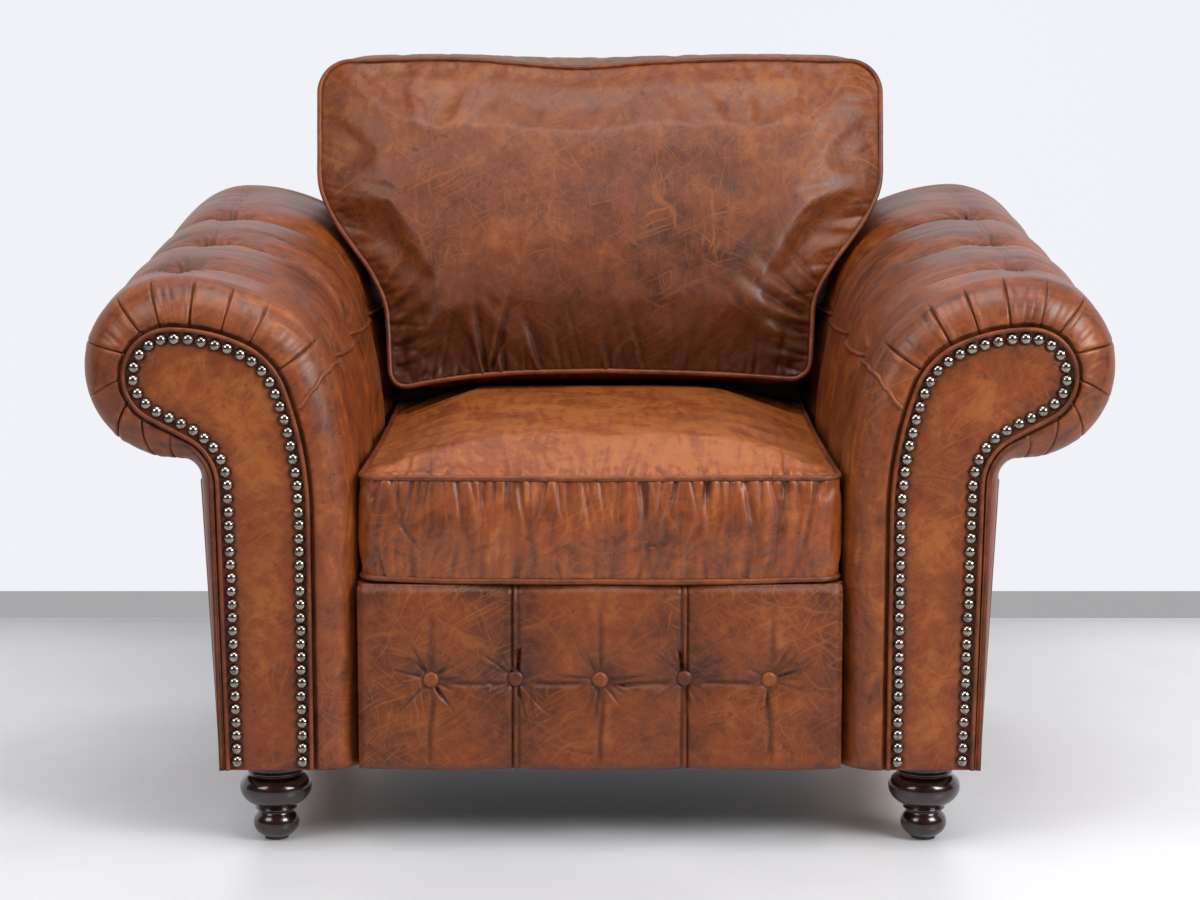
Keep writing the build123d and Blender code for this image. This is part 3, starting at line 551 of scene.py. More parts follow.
TOP_ROW = sum(OUTLINE_COUNTS[:4])
NECK_ROW = sum(OUTLINE_COUNTS[:7])
INNER_TUFTS = (0.466, 0.473, 0.477)


def cross_seams(run, along, d, depths, seed):
    """An arm's pulled cross seams, with a tuft on the roll and one on the inner face."""
    height, dark = np.zeros(run.shape), np.zeros(run.shape)
    for number, seam in enumerate(SEAM_DEPTHS):
        inner = INNER_TUFTS[number] - run[TOP_ROW, int(np.argmin(np.abs(depths - seam)))]
        near = d - seam - 0.0006 * ripple(run * 14, number, 0.5, seed + 5)
        height -= 0.0034 * bell(near, 0.0016) + 0.0036 * bell(near, 0.0100)
        # Dark seam line, with painted shade in the valley either side of it.
        dark += 0.95 * bell(near, 0.0013) + 0.30 * bell(near, 0.0050)
        pucker = ripple(run / 0.013, d / 0.09, number, seed + 7)
        height += 0.0013 * pucker * np.exp(-np.abs(near) / 0.022) * (1 - bell(near, 0.002))
        for place, deep in ((0.0, 1.0), (inner, 0.45)):
            reach = np.hypot(along - place, near)
            turn = np.arctan2(near, along - place)
            height -= 0.0095 * deep * np.exp(-(reach / 0.021) ** 1.4)
            turn = turn + 0.3 * ripple(turn * 2, number, 0.1, seed + 9)
            rays = np.cos(13 * turn) * 0.55 + np.cos(8 * turn + 1.3) * 0.45
            spread = deep * bell(reach - 0.020, 0.022)
            height += 0.0038 * rays * spread
            # Painted shade in the tuft's pit and between its rays.
            dark += 0.8 * deep * bell(reach, 0.006) + 0.60 * np.clip(-rays - 0.25, 0, 1) * spread
        height += 0.0046 * bell(np.hypot(along, d - seam), 0.0040)
    return height, dark


def facing_seam(d):
    """The hollow where an arm's leather meets the facing's piping, with painted shade in it."""
    around = np.sqrt(np.clip(1 - (1 - np.clip(d / RUFFLE_DEPTH, 0, 1)) ** 2, 0, 1))
    return -0.0045 * bell(around, 0.075), 0.7 * bell(around, 0.045)


def double_seam(along, d, seed):
    """The double seam along the top of an arm, in a shallow valley."""
    lean = 0.0018 * ripple(d * 12, 0.2, 0.4, seed + 11)
    height, dark = -0.0036 * bell(along, 0.026), 0.0
    for offset in (-0.0035, 0.0035):
        height = height - 0.0014 * bell(along - lean - offset, 0.0013)
        dark = dark + 0.55 * bell(along - lean - offset, 0.0012)
    valley = window(d, 0.045, 0.085, 0.70, 0.76)
    return height * valley, dark * valley


def front_pleats(run, d, chance):
    """Pleats that run back from an arm's front edge, each between two soft lips."""
    height, dark = np.zeros(run.shape), np.zeros(run.shape)
    for number, shares in PLEATS.items():
        for share in shares:
            steps = [0, *OUTLINE_STEPS[number]]
            row = sum(OUTLINE_COUNTS[:number]) + np.interp(share, steps, np.arange(len(steps)))
            low, rest = int(row), row - int(row)
            place = run[low] * (1 - rest) + run[low + 1] * rest
            reach, bend = chance.uniform(0.034, 0.062), chance.uniform(-0.0022, 0.0022)
            deep = chance.uniform(0.45, 1.1)
            across = run - place[None, :] - bend * np.sin(d / 0.020)
            fade = deep * (1 - smooth_step(d, reach * 0.45, reach))
            height += fade * (0.0010 * bell(np.abs(across) - 0.0050, 0.0042) - 0.0030 * bell(across, 0.0010))
            # Painted shade in each pleat.
            dark += 0.8 * fade * bell(across, 0.0008)
    return height, dark


def front_gathers(run, d, chance, seed):
    """Finer gathers between the pleats."""
    height, dark = np.zeros(run.shape), np.zeros(run.shape)
    first, last = run[sum(OUTLINE_COUNTS[:2]) + 9], run[NECK_ROW + 5]
    ring = (run - first[None, :]) / (last - first)[None, :]
    for share in spaced(0, 1, 0.021, seed + 17):
        reach = chance.uniform(0.014, 0.040)
        across = (ring - share) * (last - first)[None, :]
        fade = chance.uniform(0.1, 1.0) * (1 - smooth_step(d, reach * 0.3, reach))
        height -= 0.0008 * fade * bell(across, 0.0020)
        # Painted shade in each gather.
        dark += 0.16 * fade * bell(across, 0.0016)
    return height, dark


def side_wrinkles(run, d, chance, seed):
    """Wrinkles that wrap round an arm, and single creases on its top and inner face."""
    wraps = ripple(run / 0.11, d / 0.016, 0.9, seed + 19)
    sides = smooth_step(run, 0.10, 0.30) * smooth_step(d, 0.14, 0.16)
    height = -0.0014 * sides * np.clip(wraps - 0.15, 0, 1)
    for _ in range(16):
        place, where = chance.uniform(0.34, 0.62), chance.uniform(0.15, 0.70)
        points = [(place, where), (place + chance.uniform(0.04, 0.12), where + chance.uniform(-0.04, 0.04))]
        height += crease(run, d, points, 0.0012, 0.0026)
    # Painted shade in the wrinkles' valleys.
    return height, 0.28 * sides * np.clip(wraps - 0.3, 0, 1)


def arm_folds(run, depths, seed):
    """How far the arm's leather stands off its plain surface, with a mask of seam lines and painted shade in
    hollows, and one of painted highlight where the leather stands highest.
    """
    chance = np.random.default_rng(seed)
    d = np.broadcast_to(depths, run.shape)
    along = run - run[TOP_ROW][None, :]
    height = ripple(run * 9, d * 9, 0.3, seed) * 0.0014 + ripple(run * 24, d * 24, 0.7, seed + 1) * 0.0008
    height, dark = height * smooth_step(d, 0.02, 0.08), 0.0
    for rise, shade in (cross_seams(run, along, d, depths, seed), facing_seam(d), double_seam(along, d, seed),
                        front_pleats(run, d, chance), front_gathers(run, d, chance, seed),
                        side_wrinkles(run, d, chance, seed)):
        height, dark = height + rise, dark + shade
    # Painted highlight: the further the leather stands out, the paler.
    return height, np.clip(dark, 0, 1), np.clip(0.30 + 190 * height, 0.08, 1)


def make_arm(side, seed):
    """One arm's leather: a grid shaped over the roll, folded, and given its thickness."""
    places, normals, run, depths = arm_surface()
    height, dark, wear_and_highlight = arm_folds(run, depths, seed)
    mirror = np.array([side, 1, 1])
    places = (places + normals * height[..., None]) * mirror
    arm = grid_piece("arm_leather_" + hand(side), places, normals.reshape(-1, 3) * mirror)
    keep_masks(arm, dark, wear_and_highlight)
    return smooth(thicken(arm, 0.0035))


def facing_line(inset, bottom=LEG_HEIGHT):
    """The facing's outline as (x, z) points, drawn inwards by inset."""
    x, z = arm_outline(0.0, inset, 0.0, bottom, even_steps(60, 30, 22, 26, 30, 30, 14, 20, 46))
    return np.stack([x[:, 0], z[:, 0]], 1)


def nail_places(sizes):
    """Where the nails stand round a facing."""
    line, end = facing_line(0.0135), 0.011
    steps = np.linalg.norm(np.diff(line, axis=0), axis=1)
    run = np.concatenate([[0], np.cumsum(steps)])
    length = run[-1] - 2 * end
    count = round(length / sizes.nail_pitch)
    spots = end + length * np.arange(count + 1) / count
    return np.stack([np.interp(spots, run, line[:, 0]), np.interp(spots, run, line[:, 1])], 1)


def filled(outline, loose, margin):
    """Points and faces inside a closed outline, and how far each point is from it."""
    closed = [tuple(point) for point in (*outline, outline[0])]
    away, _ = to_line(loose[:, 0], loose[:, 1], closed)
    inside = np.zeros(len(loose), bool)
    for (ax, az), (bx, bz) in zip(closed, closed[1:]):
        crosses = (az > loose[:, 1]) != (bz > loose[:, 1])
        at = ax + (loose[:, 1] - az) / (bz - az or 1e-12) * (bx - ax)
        inside ^= crosses & (loose[:, 0] < at)
    count = len(outline)
    points = [Vector(point) for point in np.concatenate([outline, loose[inside & (away > margin)]])]
    edges = [(number, (number + 1) % count) for number in range(count)]
    found, _, faces, *_ = delaunay_2d_cdt(points, edges, [], 1, 1e-5)
    flat = np.array([tuple(point) for point in found])
    away, _ = to_line(flat[:, 0], flat[:, 1], closed)
    return flat, faces, away


def make_facing(side, sizes, seed):
    """Padded facing of one arm, pressed in at each nail."""
    outline = facing_line(0.0006)
    nails = nail_places(sizes)
    inner, outer, pitch = outline[:, 0].min(), outline[:, 0].max(), 0.0045
    grid_x, grid_z = np.meshgrid(np.arange(inner, outer, pitch), np.arange(LEG_HEIGHT, 0.62, pitch))
    grid_x = grid_x + pitch / 2 * (np.arange(grid_x.shape[0])[:, None] % 2)
    loose = np.stack([grid_x.ravel(), grid_z.ravel()], 1)
    rings = [nails + radius * np.array([math.cos(turn), math.sin(turn)])
             for radius in (0.0062, 0.0085) for turn in np.arange(8) * math.pi / 4]
    flat, faces, away = filled(outline, np.concatenate([loose, *rings]), 0.0015)
    near = np.min(np.hypot(flat[:, :1] - nails[None, :, 0], flat[:, 1:] - nails[None, :, 1]), axis=1)
    rise = 0.0016 * smooth_step(away, 0.0, 0.045)
    rise += 0.0005 * ripple(flat[:, 0] * 25, flat[:, 1] * 25, 0.5, seed) * smooth_step(away, 0.02, 0.04)
    rise += 0.0008 * bell(away - 0.0215, 0.006) - 0.0024 * bell(near, 0.0096)
    y = depth(FACING_RECESS) - rise
    places = np.stack([flat[:, 0] * side, y, flat[:, 1]], 1)
    facing = mesh_piece("arm_facing_leather_" + hand(side), places, faces)
    # Painted shadow round each nail and painted shade along the edge; paler, with painted highlight, where the
    # padding stands highest in the middle.
    keep_masks(facing, 0.75 * bell(near, 0.0086) + 0.5 * bell(away, 0.004),
               0.25 + 0.35 * smooth_step(away, 0.02, 0.05))
    turn_faces(facing, (0, -1, 0))
    return smooth(thicken(facing, 0.004), 70)


def make_facing_piping(side):
    """Thin piping round a facing, from hem to hem."""
    line = facing_line(0.0027, LEG_HEIGHT + 0.0005)
    y = depth(-0.0004)
    return tube("arm_facing_welt_" + hand(side), [(x * side, y, z) for x, z in line], 0.0025)


def make_nail(sizes):
    """One domed nail: half a ball on a thin flared rim."""
    deselect()
    bpy.ops.mesh.primitive_uv_sphere_add(segments=12, ring_count=8, radius=sizes.nail_radius)
    nail = named("nail_pattern")
    cut = 0.0012
    with edit_mode(nail):
        bpy.ops.mesh.bisect(plane_co=(0, 0, cut), plane_no=(0, 0, 1), clear_inner=True, use_fill=True)
    places = coordinates(nail)
    places[:, 2] = (places[:, 2] - cut) * sizes.nail_height / (sizes.nail_radius - cut)
    low = places[:, 2] < 1e-5
    places[low, :2] *= 1.02
    place_points(nail, places)
    # Darkens the rim where the dome meets the leather: tarnish and painted shade.
    keep_number(nail, "dark_and_shade", 1 - smooth_step(places[:, 2], 0.0003, 0.0016))
    return smooth(nail, 50)


def make_nails(side, sizes, seed):
    """The row of nails round one facing, each hammered in a little differently."""
    pattern = make_nail(sizes)
    chance = np.random.default_rng(seed)
    copies = []
    for x, z in nail_places(sizes):
        copy = pattern.copy()
        copy.data = pattern.data.copy()
        bpy.context.scene.collection.objects.link(copy)
        tilt = Euler((math.pi / 2 + chance.normal(0, 0.055), 0, chance.normal(0, 0.055)))
        spot = (side * (x + chance.normal(0, 0.00022)), depth(FACING_RECESS - 0.0012),
                z + chance.normal(0, 0.00022))
        copy.matrix_world = Matrix.LocRotScale(Vector(spot), tilt, None)
        copies.append(copy)
    bpy.data.objects.remove(pattern)
    return settle(join(copies, "facing_nails_" + hand(side)))


def make_inner_welts(side, seed):
    """Raised seam along the inner face of an arm, a step lower in front of each cross seam."""
    places, normals, run, depths = arm_surface()
    levels = (((0.0003, 0.5215), (0.0020, 0.5290), (0.006, 0.5400), (0.012, 0.5500), (0.022, 0.5590),
               (0.045, 0.5650), (0.090, 0.5630), (0.1345, 0.5590)),
              ((0.1355, 0.5635), (0.230, 0.5650), (0.3325, 0.5655)),
              ((0.3335, 0.5695), (0.430, 0.5700), (0.5385, 0.5710)),
              ((0.5395, 0.5730), (0.700, 0.5740)))
    height, _, _ = arm_folds(run, depths, seed)
    formed = places + normals * height[..., None]
    welts = []
    for chain in levels:
        ahead, level = np.transpose(chain)
        crowding = 2.2 if chain is levels[0] else 1
        shares = np.linspace(0, 1, max(6, int((ahead[-1] - ahead[0]) / 0.004))) ** crowding
        points = []
        for d in ahead[0] + (ahead[-1] - ahead[0]) * shares:
            z = np.interp(d, ahead, level)
            column = int(np.argmin(np.abs(depths - d) + 1e3 * (np.arange(len(depths)) < 2)))
            rows = formed[:TOP_ROW, column]
            x = np.interp(z, rows[:, 2], rows[:, 0])
            y = depth(d) if d > 0.03 else np.interp(z, rows[:, 2], rows[:, 1])
            points.append((side * (x - 0.0002), y, z))
        welts.append(tube("welt", points, 0.0029))
    return join(welts, "arm_inner_welt_" + hand(side))


def make_outside_arm(side, seed):
    """Leather panel over the outer side of an arm, under the roll."""
    rows = np.linspace(RUFFLE_DEPTH - 0.004, ARM_DEPTH - REAR_ROUND, 130)
    x, z = arm_outline(1.0, 0.0, rows * ARM_RISE, LEG_HEIGHT)
    first = sum(OUTLINE_COUNTS[:8])
    top = np.stack([x[first], rows, z[first]], -1)
    foot = np.stack([x[-1], rows, z[-1]], -1)
    shares = np.linspace(0, 1, 70)[:, None, None]
    points = top[None] + (foot - top)[None] * (0.025 + shares * 0.975)
    share_up, d = np.broadcast_arrays(shares[..., 0], rows[None, :])
    edge = np.minimum(share_up, 1 - share_up) * 0.30
    ends = np.minimum(d - rows[0], rows[-1] - d)
    puff = 0.0028 + 0.0022 * smooth_step(edge, 0, 0.05) * smooth_step(ends, 0, 0.05)
    puff += 0.0009 * ripple(share_up * 4, d * 9, 0.4, seed) * smooth_step(ends, 0, 0.04)
    puff -= 0.0026 * (1 - smooth_step(ends, 0, 0.006))
    puff += puckers(d, share_up * 0.30, (rows[0], rows[-1]), 0.034, 0.028, 0.0009, 0.0042, seed + 1)
    away = np.stack([np.ones_like(puff) * 0.985, np.zeros_like(puff), np.zeros_like(puff) + 0.05], -1)
    points = points + away * puff[..., None]
    points[..., 1] = depth(points[..., 1])
    points[..., 0] *= side
    panel = grid_piece("outside_arm_leather_" + hand(side), points, (side, 0, 0))
    # Painted shade along the panel's edges, and painted highlight where it puffs out.
    keep_masks(panel, 0.5 * (1 - smooth_step(edge, 0, 0.006)), 0.3 + 90 * (puff - 0.004))
    return smooth(thicken(panel, 0.0026))


def make_rear_facing(side, seed):
    """Flat padded panel that closes an arm at the back."""
    lift = (ARM_DEPTH - 0.004) * ARM_RISE
    x, z = arm_outline(1.0, 0.0125, lift, LEG_HEIGHT, even_steps(40, 20, 14, 16, 30, 30, 6, 8, 26))
    outline = np.stack([x[:, 0], z[:, 0]], 1)
    grid_x, grid_z = np.meshgrid(np.arange(0.28, 0.66, 0.009), np.arange(LEG_HEIGHT, 0.75, 0.009))
    flat, faces, away = filled(outline, np.stack([grid_x.ravel(), grid_z.ravel()], 1), 0.003)
    wave = ripple(flat[:, 0] * 16, flat[:, 1] * 16, 0.3, seed) * smooth_step(away, 0.01, 0.04)
    y = depth(ARM_DEPTH - 0.0003) + 0.0026 * smooth_step(away, 0, 0.05) + 0.0006 * wave
    places = np.stack([flat[:, 0] * side, y, flat[:, 1]], 1)
    panel = mesh_piece("rear_facing_leather_" + hand(side), places, faces)
    # Painted shade along the edge by the piping.
    keep_masks(panel, 0.5 * bell(away, 0.004), 0.3 + 0 * away)
    turn_faces(panel, (0, 1, 0))
    thicken(panel, 0.005)
    path = [(px * side, depth(ARM_DEPTH) + 0.0016, pz) for px, pz in outline]
    return smooth(panel, 70), tube("rear_facing_welt_" + hand(side), path, 0.0026)


# Front border under the seat

BUTTONS = (-0.196, -0.098, 0.0, 0.098, 0.196)
BORDER_HALF = 0.2807
BORDER_SEAMS = (-0.098, 0.098)


def border_front(x):
    """Front of the border's plain form at x: three soft bulges between the welted seams."""
    edges = np.array([-BORDER_HALF, *BORDER_SEAMS, BORDER_HALF])
    zone = np.clip(np.digitize(x, edges) - 1, 0, 2)
    start, end = edges[zone], edges[zone + 1]
    share = (x - start) / (end - start)
    return 0.006 * (1 - (2 * share - 1) ** 2)


def border_stitches(x, z, seed):
    """The border's two double seams, and the folds over and under the other buttons."""
    puff, dark = np.zeros(len(x)), np.zeros(len(x))
    for seam in BORDER_SEAMS:
        for offset in (-0.0035, 0.0035):
            puff -= 0.0030 * bell(x - seam - offset, 0.0015)
            dark += 0.9 * bell(x - seam - offset, 0.0015)
        puff += 0.0026 * bell(x - seam, 0.0024)
    for fold in (-0.196, 0.0, 0.196):
        soft = 0.004 * ripple(z * 16, fold * 10, 0.5, seed + 3)
        below = window(BUTTON_Z - z, 0.01, 0.03, 0.075, 0.105)
        above = window(z - BUTTON_Z, 0.01, 0.03, 0.05, 0.10)
        puff -= (0.0030 * below + 0.0024 * above) * bell(x - fold - soft, 0.0032)
        puff += 0.0012 * (below + above) * bell(x - fold - soft - 0.006, 0.005)
        # Painted shade in the folds over and under the buttons.
        dark += 0.6 * (below + 0.6 * above) * bell(x - fold - soft, 0.0022)
    return puff, dark


def border_pulls(x, z, chance, seed):
    """Folds from button to button, and creases that run out from each."""
    puff, dark = np.zeros(len(x)), np.zeros(len(x))
    for left, right in zip(BUTTONS, BUTTONS[1:]):
        level = BUTTON_Z - 0.004 + 0.003 * ripple(x * 15, left * 9, 0.7, seed + 4)
        between = window(x, left + 0.008, left + 0.030, right - 0.030, right - 0.008)
        puff -= between * (0.0034 * bell(z - level, 0.0030) + 0.0016 * bell(z - level, 0.012))
        # Painted shade in the fold between two buttons.
        dark += 0.65 * between * bell(z - level, 0.0022)
    for button in BUTTONS:
        reach = np.hypot(x - button, (z - BUTTON_Z) * 1.02)
        angle = np.arctan2(z - BUTTON_Z, x - button)
        puff -= 0.0100 * np.exp(-(reach / 0.021) ** 1.3)
        # Painted shade in the pit round each button.
        dark += 0.8 * bell(reach, 0.0115)
        for turn in np.sort(chance.uniform(-math.pi, math.pi, 15)):
            gap = np.abs((angle - turn + math.pi) % (2 * math.pi) - math.pi) * reach
            far = chance.uniform(0.028, 0.066)
            fade = chance.uniform(0.5, 1.2) * window(reach, 0.008, 0.014, far * 0.55, far)
            puff += fade * (0.0010 * bell(gap, 0.0052) - 0.0028 * bell(gap, 0.0021))
            # Painted shade in each crease that runs out from a button.
            dark += 0.60 * fade * bell(gap, 0.0017)
    for _ in range(7):
        px, pz = chance.uniform(-0.25, 0.25), chance.uniform(0.115, 0.29)
        end = (px + chance.uniform(-0.03, 0.03), pz + chance.uniform(-0.03, 0.03))
        puff += crease(x, z, [(px, pz), end], 0.0006, 0.0020)
    return puff, dark


def border_edges(x, z):
    """How far the border's front rounds off towards its edges."""
    sides = 0.0050 * (1 - smooth_step(BORDER_HALF - np.abs(x), 0, 0.011)) ** 2
    hem = 0.0045 * (1 - smooth_step(z - LEG_HEIGHT, 0, 0.010)) ** 2
    return sides + hem + 0.0060 * (1 - smooth_step(DECK_TOP_Z - z, 0, 0.014)) ** 2


def make_border(seed):
    """Buttoned border, bulged and pulled in at five buttons, and how far back the leather lies at each."""
    shares, faces = box_lattice((300, 4, 120))
    x = (shares[:, 0] * 2 - 1) * BORDER_HALF
    z = LEG_HEIGHT + shares[:, 2] * (DECK_TOP_Z - LEG_HEIGHT)
    puff = border_front(x) - border_edges(x, z)
    puff += 0.0015 * ripple(x * 12, z * 12, 0.2, seed) + 0.0006 * ripple(x * 34, z * 34, 0.6, seed + 1)
    stitched, seam_dark = border_stitches(x, z, seed)
    pulled, fold_dark = border_pulls(x, z, np.random.default_rng(seed), seed)
    puff, dark = puff + stitched + pulled, seam_dark + fold_dark
    front = 1 - smooth_step(shares[:, 1], 0, 0.25)
    y = depth(0.005) + shares[:, 1] * 0.035 - puff * front
    border = mesh_piece("border_leather", np.stack([x, y, z], 1), faces)
    # Stitch lines and painted shade darken; painted highlight where the border bulges out.
    keep_masks(border, dark * front, 0.25 + 110 * (puff - 0.004))
    depths = {}
    for button in BUTTONS:
        near = (np.hypot(x - button, z - BUTTON_Z) < 0.008) & (shares[:, 1] < 0.01)
        depths[button] = float(y[near].mean())
    return smooth(border, 75), depths


def make_button(name, x, y, tilt):
    """Covered button: a domed disc with a pinched edge."""
    deselect()
    bpy.ops.mesh.primitive_uv_sphere_add(segments=28, ring_count=14, radius=1)
    button = named(name)
    places = coordinates(button)
    round_up = np.hypot(places[:, 0], places[:, 1])
    dome = np.where(places[:, 2] > 0, 0.0048 * np.abs(places[:, 2]) ** 0.85, -0.0026 * np.abs(places[:, 2]))
    dimple = -0.0006 * bell(round_up, 0.30)
    places = np.stack([places[:, 0] * 0.0096, places[:, 1] * 0.0096, dome + dimple * (places[:, 2] > 0)], 1)
    place_points(button, places)
    button.location = (x, y + 0.0004, BUTTON_Z)
    button.rotation_euler = (math.pi / 2 + tilt, 0, tilt)
    settle(button)
    dark_and_shade, wear_and_highlight = (0.5, 0.15) if abs(x) in BORDER_SEAMS else (0.0, 0.6)
    keep_masks(button, dark_and_shade + 0 * round_up, wear_and_highlight + 0 * round_up)
    return smooth(button)


# Seat cushion

def zip_groove(x, z, level):
    """Mask of the groove that a zip lies in, at a height."""
    return smooth_step(0.0098 - np.abs(z - level), 0, 0.0026) * smooth_step(0.2180 - np.abs(x), 0, 0.0030)


def seat_plan(u, v):
    """Place on the seat cushion's plan of shares from -1 to 1, v running to the back."""
    half, front, rear = CUSHION_HALF, depth(CUSHION_RECESS), CUSHION_REAR_Y
    x, y = u * half, front + (v + 1) / 2 * (rear - front)
    middle = (front + rear) / 2
    x, y = rounded(x, y, half, rear, front, 0.024, 0.024)
    x = x * (1 - 0.005 / half * (1 - ((y - middle) / (rear - middle)) ** 2))
    y = y - CUSHION_BOW * (1 - (x / half) ** 2) * smooth_step(middle - y, 0, middle - front)
    return x, y


def square_loop(side):
    """Places round a square from -1 to 1, a number of them on each side."""
    run, end = np.linspace(-1, 1, side, endpoint=False), np.ones(side)
    return np.concatenate([run, end, -run, -end]), np.concatenate([-end, run, end, -run])


BAND_CREASES = (((-0.155, 0.352), (-0.115, 0.368)), ((-0.065, 0.350), (-0.028, 0.366)),
                ((0.02, 0.352), (0.09, 0.372)), ((-0.235, 0.395), (-0.205, 0.355)),
                ((0.16, 0.345), (0.215, 0.352)), ((0.12, 0.395), (0.10, 0.360)))


def seat_zones(u, v, w):
    """Masks of the seat cushion's top, bottom, rim and band, and the distance from the rim in shares."""
    top, bottom = w > 0.999, w < 0.001
    rim = np.maximum(np.abs(u), np.abs(v)) > 0.9999
    return top, bottom, rim, rim & ~top & ~bottom, np.minimum(1 - np.abs(u), 1 - np.abs(v))


def outward_ways(x, y):
    """Level directions straight out of the band, slanting at the corners."""
    middle = (depth(CUSHION_RECESS) + CUSHION_REAR_Y) / 2
    out = np.stack([x / CUSHION_HALF, (y - middle) / CUSHION_HALF_DEPTH], 1)
    out /= np.maximum(np.max(np.abs(out), axis=1, keepdims=True), 1e-9)
    out = np.where(np.abs(out) > 0.93, np.sign(out), 0)
    return out / np.maximum(np.linalg.norm(out, axis=1, keepdims=True), 1e-9)


def band_folds(u, v, x, y, z, seed):
    """Gathers of the seat cushion's band: close and deep at the front, shallow at the sides and back."""
    from_top, from_bottom = SEAT_TOP_PIPING_Z - z, z - CUSHION_LOW_Z
    front = puckers(x, from_top, (-0.265, 0.265), 0.0150, 0.030, 0.0036, 0.0027, seed + 2)
    front += puckers(x, from_top, (-0.26, 0.26), 0.036, 0.078, 0.0044, 0.0044, seed + 4)
    front += puckers(x, from_top, (-0.22, 0.25), 0.085, 0.130, 0.0034, 0.0062, seed + 24)
    front += puckers(x, from_bottom, (-0.262, 0.262), 0.026, 0.034, 0.0028, 0.0032, seed + 6)
    for line in BAND_CREASES:
        front += crease(x, z, line, 0.0022, 0.0028)
    sides = puckers(y, from_top, (-0.40, 0.25), 0.040, 0.026, 0.0014, 0.0050, seed + 8)
    sides += puckers(y, from_bottom, (-0.40, 0.25), 0.050, 0.024, 0.0010, 0.0050, seed + 10)
    back = puckers(x, from_top, (-0.26, 0.26), 0.045, 0.024, 0.0011, 0.0050, seed + 12)
    return np.where(v < -0.999, front, 0) + np.where(np.abs(u) > 0.999, sides, 0) + np.where(v > 0.999, back,
                                                                                             0)


def seat_top_folds(x, y, seed):
    """Gathers and pulled folds behind the front piping, gathers at the sides, and a few long creases."""
    rng = np.random.default_rng(seed)
    from_front = y - depth(CUSHION_RECESS) + CUSHION_BOW * (1 - (x / CUSHION_HALF) ** 2)
    folds = puckers(x, from_front, (-0.255, 0.26), 0.0165, 0.030, 0.0030, 0.0028, seed + 14)
    folds += puckers(x, from_front, (-0.26, 0.26), 0.060, 0.075, 0.0032, 0.0042, seed + 16)
    reaches, turns = rng.uniform(0.012, 0.045, 60), rng.uniform(-0.5, 0.5, 60)
    for place, far, turn in zip(spaced(-0.25, 0.255, 0.021, seed + 30), reaches, turns):
        folds += pull(x, from_front, (place, 0.0), (place + turn * far, far), 0.0042, 0.0026)
    for sign in (-1, 1):
        spots = spaced(-0.38, 0.05, 0.055, seed + 18 + sign)
        folds += gathers(y, CUSHION_HALF - sign * x, spots, 0.040, 0.0011, 0.0055, seed + 20 + sign)
    for _ in range(10):
        px, py, turn = rng.uniform(-0.22, 0.22), rng.uniform(-0.38, -0.12), rng.uniform(-0.5, 0.5)
        line = [(px, py), (px + 0.05 * math.cos(turn), py + 0.05 * math.sin(turn))]
        folds += crease(x, y, line, 0.0006, 0.0045)
    return folds


def make_seat_cushion(sizes, seed):
    """Boxed seat cushion, filled as cloth with its seams held: crowned top, gathered band."""
    shares, faces = box_lattice((150, 72, 22))
    u, v, w = shares[:, 0] * 2 - 1, shares[:, 1] * 2 - 1, shares[:, 2]
    x, y = seat_plan(u, v)
    tall = SEAT_TOP_PIPING_Z - CUSHION_LOW_Z
    top, bottom, rim, band, away = seat_zones(u, v, w)
    crown = (1 - np.abs(u) ** 4.6) * (1 - np.abs(v) ** 5.4)
    z = CUSHION_LOW_Z + w * tall + np.where(top, sizes.seat_crown * 0.90 * crown, 0)
    z = z - np.where(bottom, 0.0028 * smooth_step(away, 0, 0.05), 0)
    bulge = outward_ways(x, y) * np.where(band, 0.0026 * (1 - (2 * w - 1) ** 2), 0)[:, None]
    places = np.stack([x + bulge[:, 0], y + bulge[:, 1], z], 1)
    cushion = mesh_piece("seat_cushion_leather", places, faces)
    swell(cushion, rim & (top | bottom), 3.5, 0.012, 0.008)

    u, v, w, x, y, z = finer(cushion, u, v, w)
    top, _, _, band, away = seat_zones(u, v, w)
    height = 0.0011 * ripple(x * 11, y * 11, z * 11, seed) + 0.0005 * ripple(x * 30, y * 30, z * 30, seed + 1)
    height = height * smooth_step(away + np.where(band, np.minimum(w, 1 - w), 0) * 1.2, 0, 0.08)
    pulled = np.where(band, band_folds(u, v, x, y, z, seed), 0) + np.where(top, seat_top_folds(x, y, seed), 0)
    height += pulled
    edge_pull = np.where(top, -0.0008 * bell(away, 0.010), 0)
    places = coordinates(cushion) + point_normals(cushion) * (height + edge_pull)[:, None]
    tape_low, tape_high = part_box("seat_cushion_zip")
    groove = zip_groove(places[:, 0], places[:, 2], (tape_low.z + tape_high.z) / 2) * (v > 0.999)
    places[:, 1] += groove * (tape_low.y - 0.0006 - places[:, 1])
    place_points(cushion, places)
    near_seam = np.where(band, np.minimum(w, 1 - w) * tall, away * CUSHION_HALF)
    # Painted shade in the deepest folds and along the piping.
    dark = 0.6 * np.clip(-200 * (pulled + 0.0015), 0, 1) + 0.4 * (1 - smooth_step(near_seam, 0.001, 0.005))
    # The top is painted paler than the band, a painted sheen, with painted highlight on every ridge.
    keep_masks(cushion, dark, np.where(top, 0.80, 0.20) + 230 * height)
    return smooth(cushion)


def make_seat_piping():
    """Piping round the top and bottom of the seat cushion."""
    x, y = seat_plan(*square_loop(105))
    loops = []
    for level, dip in ((0.3200, 0.0022), (SEAT_TOP_PIPING_Z, 0)):
        z = level + 0.0006 * ripple(x * 20, y * 20, level * 50, 8) + dip * smooth_step(np.abs(x), 0.16, 0.27)
        loops.append(tube("loop", np.stack([x, y, z], 1), PIPING_RADIUS, closed=True))
    return join(loops, "seat_cushion_welt")


# Back cushion

